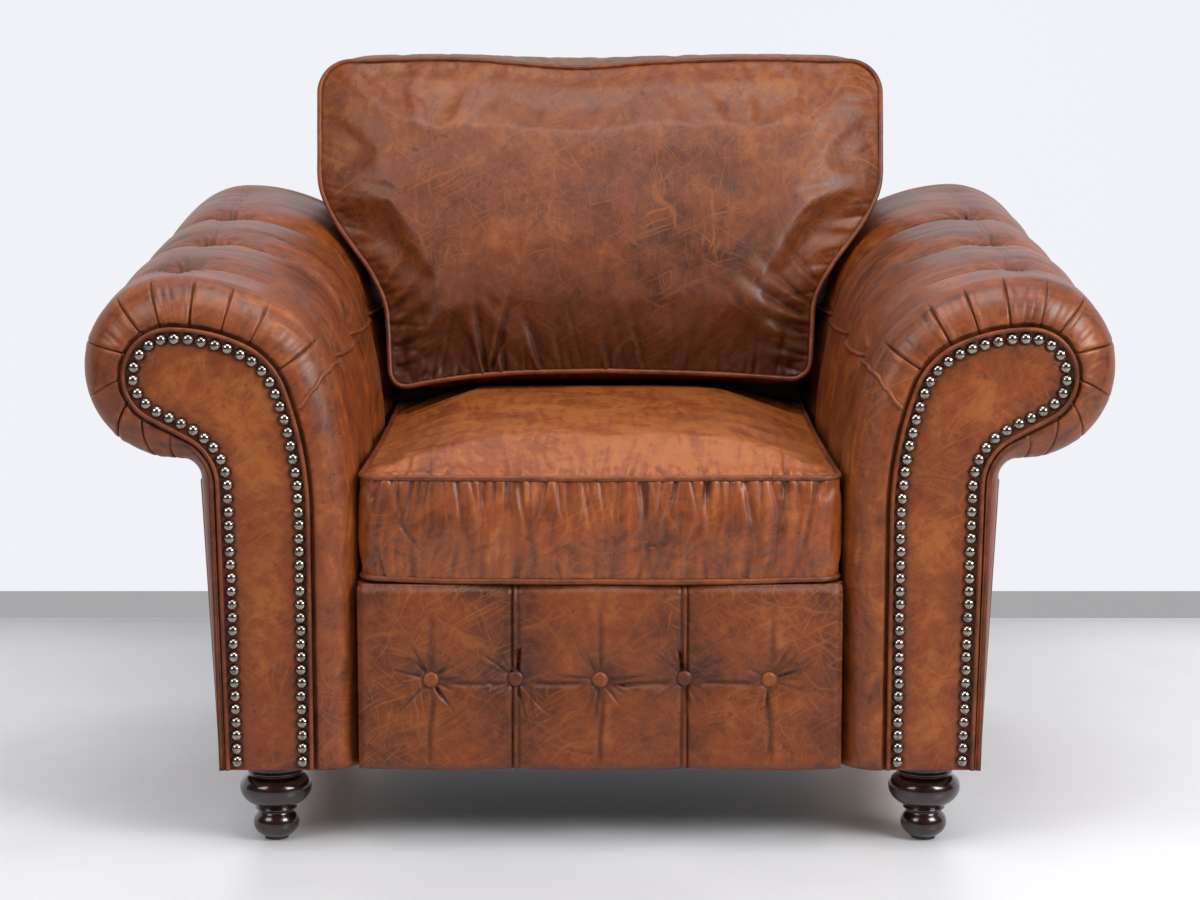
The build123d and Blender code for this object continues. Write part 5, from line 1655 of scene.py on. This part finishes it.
def make_materials(looks):
    """Every finish of the armchair, kept by name."""
    leather, wood, cloth, metal = aged_leather_group(), wood_group(), cloth_group(), tarnish_group()
    tones = {"Dark": looks.leather_dark, "Middle": looks.leather_middle, "Light": looks.leather_light}

    def hide(name, shift, dark=1.0, marks=1.0, bump=0.35, streaks=(8.0, 8.0, 8.0), streaked=0.0, coat=0.06):
        shades = {key: (*(part * dark for part in value[:3]), 1.0) for key, value in tones.items()}
        values = {**shades, "Shift": shift, "Marks": marks, "Streaks": streaks, "Streaked": streaked}
        return finish_material(name, leather, values, bump, 0.0009,
                               ior=1.42, coat_weight=coat, coat_roughness=0.30)

    # Each piece's tones are scaled by its own dark factor: darkest for the back cushion and border, lightest
    # for the seat; the left arm a little lighter than the right.
    around, upright = (7.0, 170.0, 7.0), (150.0, 9.0, 8.0)
    materials["arms"] = hide("leather_arms", (0.0, 0.0, 0.0), 0.87, 0.8, 0.35, around, 0.46, 0.22)
    materials["arm_left"] = hide("leather_left_arm", (3.1, 1.7, 0.4), 0.92, 0.8, 0.35, around, 0.46, 0.20)
    materials["facing"] = hide("leather_facings", (5.2, 0.3, 1.9), 0.86, 0.8)
    materials["facing_left"] = hide("leather_left_facing", (7.7, 2.3, 4.1), 0.86, 0.8)
    materials["seat"] = hide("leather_seat_cushion", (9.3, 4.4, 2.2), 1.04, 0.8, 0.35, upright, 0.38, 0.26)
    materials["back"] = hide("leather_back_cushion", (2.6, 8.8, 6.3), 0.71, 1.35, 0.35, (60.0, 60.0, 9.0),
                             0.15)
    materials["border"] = hide("leather_border", (6.1, 6.6, 3.3), 0.80, 1.2)
    materials["outside"] = hide("leather_outside_panels", (1.4, 5.5, 8.1), 0.94, 0.8)
    materials["piping"] = hide("leather_piping", (4.4, 3.3, 7.0), 1.0, 0.5, 0.2)
    materials["nail"] = finish_material("antique_nickel", metal, {"Rough": 0.14}, 0.05, 0.0001, metallic=1.0)
    materials["steel"] = finish_material("spring_steel", metal, {"Bright": linear("8a8c8e"), "Rough": 0.34},
                                         0.05, 0.0001,
                                         metallic=1.0)
    materials["brass"] = finish_material("zip_brass", metal,
                                         {"Bright": linear("b08d4a"), "Tarnish": linear("5a4424"),
                                                             "Rough": 0.25}, 0.05, 0.0001, metallic=1.0)
    materials["foot"] = finish_material("polished_mahogany", wood, {
        "Dark": linear("150504"), "Light": linear("300e09"), "Stretch": (5.0, 5.0, 0.8), "Rough": 0.16}, 0.04,
                                        0.0003,
        coat_weight=0.55, coat_roughness=0.06)
    materials["collar"] = finish_material("black_lacquer", wood, {
        "Dark": linear("080707"), "Light": linear("121010"), "Stretch": (2.0, 2.0, 2.0), "Rough": 0.22}, 0.03,
                                          0.0002,
        coat_weight=0.5, coat_roughness=0.12)
    materials["timber"] = finish_material("beech_frame", wood, {}, 0.25, 0.0005)
    materials["lining"] = finish_material("deck_cloth", cloth, {"Color": linear("5b4331"), "Pitch": 2100.0},
                                          0.4, 0.0003)
    materials["dust"] = finish_material("dust_cloth", cloth, {"Color": linear("232323"), "Pitch": 2600.0},
                                        0.4, 0.0002)
    materials["webbing"] = finish_material("jute_webbing", cloth,
                                           {"Color": linear("a58a5e"), "Pitch": 1300.0}, 0.6, 0.0005)
    materials["zip"] = finish_material("zip_tape", cloth, {"Color": linear("3a2417"), "Pitch": 4200.0}, 0.4,
                                       0.0002)
    materials["foam"] = plain_material("foam", linear("d9cfa0"), 0.75, 60.0)
    materials["glide"] = plain_material("felt_glide", linear("4a4642"), 0.8, 220.0)


def dress(piece, material, body, slot, *stands_for):
    """Gives a piece its finish, the body it rides on and the solids it stands for, which it hides; the slot is
    not used.
    """
    piece.data.materials.clear()
    piece.data.materials.append(materials[material])
    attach(piece, body)
    if stands_for:
        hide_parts(*stands_for)
    return piece


def finish_solids():
    """Gives every solid that stays in view or inside the chair a finish of its own."""
    kinds = (("foot_collars", "collar"), ("foot_glides", "glide"), ("foot_bolts", "steel"),
             ("foot_nuts", "steel"),
             ("arm_bolts", "steel"), ("seat_springs", "steel"), ("seat_spring_clips", "steel"),
             ("back_webbing", "webbing"), ("zip_slider", "brass"), ("cushion_zip", "zip"), ("foam", "foam"),
             ("core", "foam"), ("foot_", "foot"), ("nails", "nail"))
    for name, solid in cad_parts.items():
        chosen = next((finish for part, finish in kinds if part in name), "timber")
        if not solid.material_slots:
            solid.data.materials.append(materials[chosen])
        for place in solid.material_slots:
            place.material = materials[chosen]


# Stage

def stage_plane(name, size, spot, turn=0.0):
    """A plane of the stage, flat or standing."""
    deselect()
    bpy.ops.mesh.primitive_plane_add(size=1, location=spot, rotation=(turn, 0, 0))
    plane = named(name)
    plane.scale = (*size, 1)
    return settle(plane)


def lit_paint(name, low, high):
    """Paint that is seen in its own colour whatever the lamps do, and isn't seen from behind."""
    material, tree, surface = new_material(name)
    feed(surface.inputs["Roughness"], 0.8)
    colour = mixed(noise(object_place(tree), 0.7, 1.0), linear(low), linear(high))
    feed(surface.inputs["Base Color"], colour)
    path = node(tree, "ShaderNodeLightPath").outputs
    seen = Result(path["Is Camera Ray"]).most(path["Is Glossy Ray"])
    glow = node(tree, "ShaderNodeEmission", {"Color": colour, "Strength": 1.0})
    lit = node(tree, "ShaderNodeMixShader", {0: seen, 1: surface.outputs[0], 2: glow.outputs[0]})
    clear = node(tree, "ShaderNodeBsdfTransparent")
    behind = node(tree, "ShaderNodeNewGeometry").outputs["Backfacing"]
    whole = node(tree, "ShaderNodeMixShader", {0: behind, 1: lit.outputs[0], 2: clear.outputs[0]})
    feed(tree.nodes["Material Output"].inputs["Surface"], whole.outputs[0])
    return material


def make_stage(looks):
    """Floor, wall, lamps and the camera."""
    upright = math.pi / 2
    floor = stage_plane("floor", (14, 14), (0, 0, -0.0005))
    wall = stage_plane("wall", (14, 6), (0, looks.wall_y, 3.0), upright)
    skirting = stage_plane("skirting", (14, looks.skirting), (0, looks.wall_y - 0.004, looks.skirting / 2),
                           upright)
    material, tree, surface = new_material("pale_floor")
    patch = span(noise(object_place(tree), 2.2, 4.0), 0.3, 0.7)
    feed(surface.inputs["Base Color"], mixed(patch, linear("d0d0d3"), linear("d9d9dc")))
    feed(surface.inputs["Roughness"], 0.28)
    feed(surface.inputs["Specular IOR Level"], 0.35)
    floor.data.materials.append(material)
    wall.data.materials.append(lit_paint("wall_paint", "eef0f6", "f3f4f9"))
    skirting.data.materials.append(lit_paint("skirting_paint", "a5a5a7", "abaaac"))

    world = bpy.data.worlds.new("studio")
    world.use_nodes = True
    tree = world.node_tree
    bpy.context.scene.world = world
    background = tree.nodes["Background"]
    path = node(tree, "ShaderNodeLightPath").outputs
    seen = Result(path["Is Camera Ray"]).most(path["Is Transmission Ray"])
    mirrored = Result(path["Is Glossy Ray"]) * (looks.world_gloss - looks.world_light)
    feed(background.inputs["Color"], linear("f2f4f9"))
    feed(background.inputs["Strength"], seen * (1.0 - looks.world_light) + looks.world_light + mirrored)

    lamps = (("left", (-2.3, -2.4, 2.3), 1.5, 0.70), ("right", (2.4, -2.2, 2.1), 1.4, 1.6),
             ("top", (0.0, -1.0, 3.0), 1.8, 0.80), ("rear", (0.6, 1.9, 2.2), 1.4, 0.37))
    for name, spot, size, share in lamps:
        lamp = bpy.data.lights.new(name, "AREA")
        lamp.shape = "SQUARE"
        lamp.size = size
        lamp.energy = looks.key_light * share
        holder = bpy.data.objects.new(name, lamp)
        bpy.context.scene.collection.objects.link(holder)
        holder.location = spot
        holder.rotation_euler = (Vector((0, 0, 0.45)) - Vector(spot)).to_track_quat("-Z", "Y").to_euler()

    lens = bpy.data.cameras.new("camera")
    camera = bpy.data.objects.new("camera", lens)
    bpy.context.scene.collection.objects.link(camera)
    lens.sensor_width = 36
    lens.lens = looks.lens
    camera.location = (0, FRONT_Y - 3.2, looks.camera_height)
    camera.rotation_euler = (math.radians(90 - looks.tilt), 0, 0)
    bpy.context.scene.camera = camera
    bpy.context.scene.view_settings.view_transform = "Standard"


# Properties, operators and panel

class ArmchairSizes(bpy.types.PropertyGroup):
    """Sizes of the parts that are made here."""
    nail_radius: bpy.props.FloatProperty(name="Nail radius", description="Radius of a nail's head",
                                         default=0.0073,
                                         unit="LENGTH")
    nail_height: bpy.props.FloatProperty(name="Nail height", description="How far a nail's dome stands out",
                                         default=0.0052, unit="LENGTH")
    nail_pitch: bpy.props.FloatProperty(name="Nail pitch", description="Distance from one nail to the next",
                                        default=0.0154, unit="LENGTH")
    seat_crown: bpy.props.FloatProperty(name="Seat crown",
                                        description="Rise of the seat cushion over its piping",
                                        default=0.035, unit="LENGTH")
    back_crown: bpy.props.FloatProperty(name="Back crown",
                                        description="How far the back cushion swells forwards",
                                        default=0.044, unit="LENGTH")


class ArmchairLooks(bpy.types.PropertyGroup):
    """Colours of the leather, and the stage."""
    leather_dark: bpy.props.FloatVectorProperty(name="Leather, dark",
                                                description="Colour of the darkest leather",
                                                default=linear("4c1f09"), size=4, subtype="COLOR")
    leather_middle: bpy.props.FloatVectorProperty(name="Leather, middle",
                                                  description="Main colour of the leather",
                                                  default=linear("7d3a11"), size=4, subtype="COLOR")
    leather_light: bpy.props.FloatVectorProperty(name="Leather, light",
                                                 description="Colour where the leather is pulled pale",
                                                 default=linear("a66026"), size=4, subtype="COLOR")
    key_light: bpy.props.FloatProperty(name="Key light", description="Power of the main lamp", default=66.0,
                                       unit="POWER")
    world_light: bpy.props.FloatProperty(name="World light",
                                         description="Strength of the light from all sides",
                                         default=0.20)
    world_gloss: bpy.props.FloatProperty(name="World gloss",
                                         description="Strength of the room in reflections",
                                         default=0.10)
    wall_y: bpy.props.FloatProperty(name="Wall", description="Where the wall stands", default=0.889,
                                    unit="LENGTH")
    skirting: bpy.props.FloatProperty(name="Skirting", description="Height of the wall's skirting",
                                      default=0.045,
                                      unit="LENGTH")
    lens: bpy.props.FloatProperty(name="Lens", description="Focal length of the camera", default=85.0)
    tilt: bpy.props.FloatProperty(name="Tilt", description="How far the camera looks down, in degrees",
                                  default=8.55)
    camera_height: bpy.props.FloatProperty(name="Camera height",
                                           description="Height of the camera over the floor",
                                           default=0.955, unit="LENGTH")


class PieceOperator:
    """What the armchair's operators share."""
    bl_options = {"REGISTER", "UNDO"}

    def execute(self, context):
        self.build(context.scene.armchair_sizes, context.scene.armchair_looks)
        return {"FINISHED"}


class ARMCHAIR_OT_stage(PieceOperator, bpy.types.Operator):
    """Floor, wall, lamps and camera."""
    bl_idname = "armchair.stage"
    bl_label = "Stage"

    def build(self, sizes, looks):
        make_stage(looks)


class ARMCHAIR_OT_finishes(PieceOperator, bpy.types.Operator):
    """Leather, metal, wood and cloth finishes, and those of the solids that stay."""
    bl_idname = "armchair.finishes"
    bl_label = "Finishes"

    def build(self, sizes, looks):
        make_materials(looks)
        finish_solids()


class ARMCHAIR_OT_arms(PieceOperator, bpy.types.Operator):
    """Rolled arms: leather with its seams, tufts and gathers, and the raised seam on the inner face."""
    bl_idname = "armchair.arms"
    bl_label = "Arms"

    def build(self, sizes, looks):
        for side, name, seed in ((1, "right", 11), (-1, "left", 47)):
            arm = make_arm(side, seed)
            finish = "arms" if side > 0 else "arm_left"
            dress(arm, finish, "frame", "leather", f"arm_cover_{name}", f"arm_foam_{name}")
            dress(make_inner_welts(side, seed), "piping", "frame", "piping")


class ARMCHAIR_OT_facings(PieceOperator, bpy.types.Operator):
    """Front facings with their piping and nails."""
    bl_idname = "armchair.facings"
    bl_label = "Facings"

    def build(self, sizes, looks):
        for side, name, seed in ((1, "right", 23), (-1, "left", 29)):
            facing = make_facing(side, sizes, seed)
            dress(facing, "facing" if side > 0 else "facing_left", "frame", "leather", f"arm_facing_{name}")
            dress(make_facing_piping(side), "piping", "frame", "piping", f"arm_facing_piping_{name}")
            dress(make_nails(side, sizes, seed), "nail", "frame", "nail", f"arm_nails_{name}")


class ARMCHAIR_OT_outside(PieceOperator, bpy.types.Operator):
    """Outside arm panels and the panels that close the arms at the back."""
    bl_idname = "armchair.outside"
    bl_label = "Outside panels"

    def build(self, sizes, looks):
        for side, name, seed in ((1, "right", 31), (-1, "left", 37)):
            panel = make_outside_arm(side, seed)
            dress(panel, "outside", "frame", "leather", f"outside_arm_{name}")
            rear, welt = make_rear_facing(side, seed)
            dress(rear, "outside", "frame", "leather", f"rear_facing_{name}")
            dress(welt, "piping", "frame", "piping")


class ARMCHAIR_OT_border(PieceOperator, bpy.types.Operator):
    """Buttoned border under the seat."""
    bl_idname = "armchair.border"
    bl_label = "Front border"

    def build(self, sizes, looks):
        border, depths = make_border(41)
        dress(border, "border", "frame", "leather", "front_border")
        buttons = [make_button("button", x, depths[x] - 0.0012, 0.04 * number - 0.08)
                   for number, x in enumerate(BUTTONS)]
        dress(join(buttons, "border_buttons"), "border", "frame", "leather", "front_border_buttons")


class ARMCHAIR_OT_seat_cushion(PieceOperator, bpy.types.Operator):
    """Seat cushion and its piping."""
    bl_idname = "armchair.seat_cushion"
    bl_label = "Seat cushion"

    def build(self, sizes, looks):
        cushion = make_seat_cushion(sizes, 53)
        dress(cushion, "seat", "seat_cushion", "leather", "seat_cushion_cover", "seat_cushion_core")
        dress(make_seat_piping(), "piping", "seat_cushion", "piping", "seat_cushion_piping")


class ARMCHAIR_OT_back_cushion(PieceOperator, bpy.types.Operator):
    """Back cushion and its piping."""
    bl_idname = "armchair.back_cushion"
    bl_label = "Back cushion"

    def build(self, sizes, looks):
        cushion = make_back_cushion(sizes, 59)
        dress(cushion, "back", "back_cushion", "leather", "back_cushion_cover", "back_cushion_core")
        dress(make_back_piping(), "piping", "back_cushion", "piping", "back_cushion_piping")


class ARMCHAIR_OT_back_unit(PieceOperator, bpy.types.Operator):
    """Padded back behind the cushion and its outside panel."""
    bl_idname = "armchair.back_unit"
    bl_label = "Back"

    def build(self, sizes, looks):
        unit = make_back_unit(61)
        dress(unit, "outside", "frame", "leather", "inside_back_pad")
        panel, welt = make_back_panel(67)
        dress(panel, "outside", "frame", "leather", "outside_back_panel")
        dress(welt, "piping", "frame", "piping")


class ARMCHAIR_OT_zips(PieceOperator, bpy.types.Operator):
    """Teeth of both cushions' zips."""
    bl_idname = "armchair.zips"
    bl_label = "Zip teeth"

    def build(self, sizes, looks):
        for body, rake in (("seat_cushion", 0), ("back_cushion", 7)):
            dress(make_teeth(f"{body}_zip_teeth", f"{body}_zip", rake), "brass", body, "zip")


class ARMCHAIR_OT_feet(PieceOperator, bpy.types.Operator):
    """Four turned feet."""
    bl_idname = "armchair.feet"
    bl_label = "Feet"

    def build(self, sizes, looks):
        for name in ("foot_front_right", "foot_rear_right", "foot_front_left", "foot_rear_left"):
            low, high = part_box(name)
            foot = make_foot("turned_" + name, (low.x + high.x) / 2, (low.y + high.y) / 2)
            dress(foot, "foot", "frame", "foot", name)


class ARMCHAIR_OT_under(PieceOperator, bpy.types.Operator):
    """Deck under the seat cushion and the dust cover under the seat."""
    bl_idname = "armchair.under"
    bl_label = "Deck and dust cover"

    def build(self, sizes, looks):
        deck = make_deck(71)
        dress(deck, "lining", "frame", "lining", "seat_deck")
        cloth, staples, size = make_dust_cover(73)
        dress(cloth, "dust", "frame", "lining", "dust_cover")
        dress(staples, "steel", "frame", "steel")


class ARMCHAIR_PT_panel(bpy.types.Panel):
    """Lists the armchair's pieces."""
    bl_label = "Armchair"
    bl_idname = "ARMCHAIR_PT_panel"
    bl_space_type = "VIEW_3D"
    bl_region_type = "UI"
    bl_category = "Armchair"

    def draw(self, context):
        for group in (context.scene.armchair_sizes, context.scene.armchair_looks):
            for name in group.bl_rna.properties.keys():
                if name not in ("rna_type", "name"):
                    self.layout.prop(group, name)
        for piece in PIECES:
            self.layout.operator(piece.bl_idname)


PIECES = (ARMCHAIR_OT_stage, ARMCHAIR_OT_finishes, ARMCHAIR_OT_arms, ARMCHAIR_OT_facings, ARMCHAIR_OT_outside,
          ARMCHAIR_OT_border, ARMCHAIR_OT_seat_cushion, ARMCHAIR_OT_back_cushion, ARMCHAIR_OT_back_unit,
          ARMCHAIR_OT_zips, ARMCHAIR_OT_feet, ARMCHAIR_OT_under)


def register():
    """Registers the properties, operators and panel."""
    for kind in (ArmchairSizes, ArmchairLooks, *PIECES, ARMCHAIR_PT_panel):
        bpy.utils.register_class(kind)
    bpy.types.Scene.armchair_sizes = bpy.props.PointerProperty(type=ArmchairSizes)
    bpy.types.Scene.armchair_looks = bpy.props.PointerProperty(type=ArmchairLooks)


def unregister():
    """Takes them away again."""
    del bpy.types.Scene.armchair_looks
    del bpy.types.Scene.armchair_sizes
    for kind in reversed((ArmchairSizes, ArmchairLooks, *PIECES, ARMCHAIR_PT_panel)):
        bpy.utils.unregister_class(kind)


def main():
    """Builds every piece in order."""
    register()
    for piece in PIECES:
        group, name = piece.bl_idname.split(".")
        getattr(getattr(bpy.ops, group), name)()


if __name__ == "__main__":
    main()
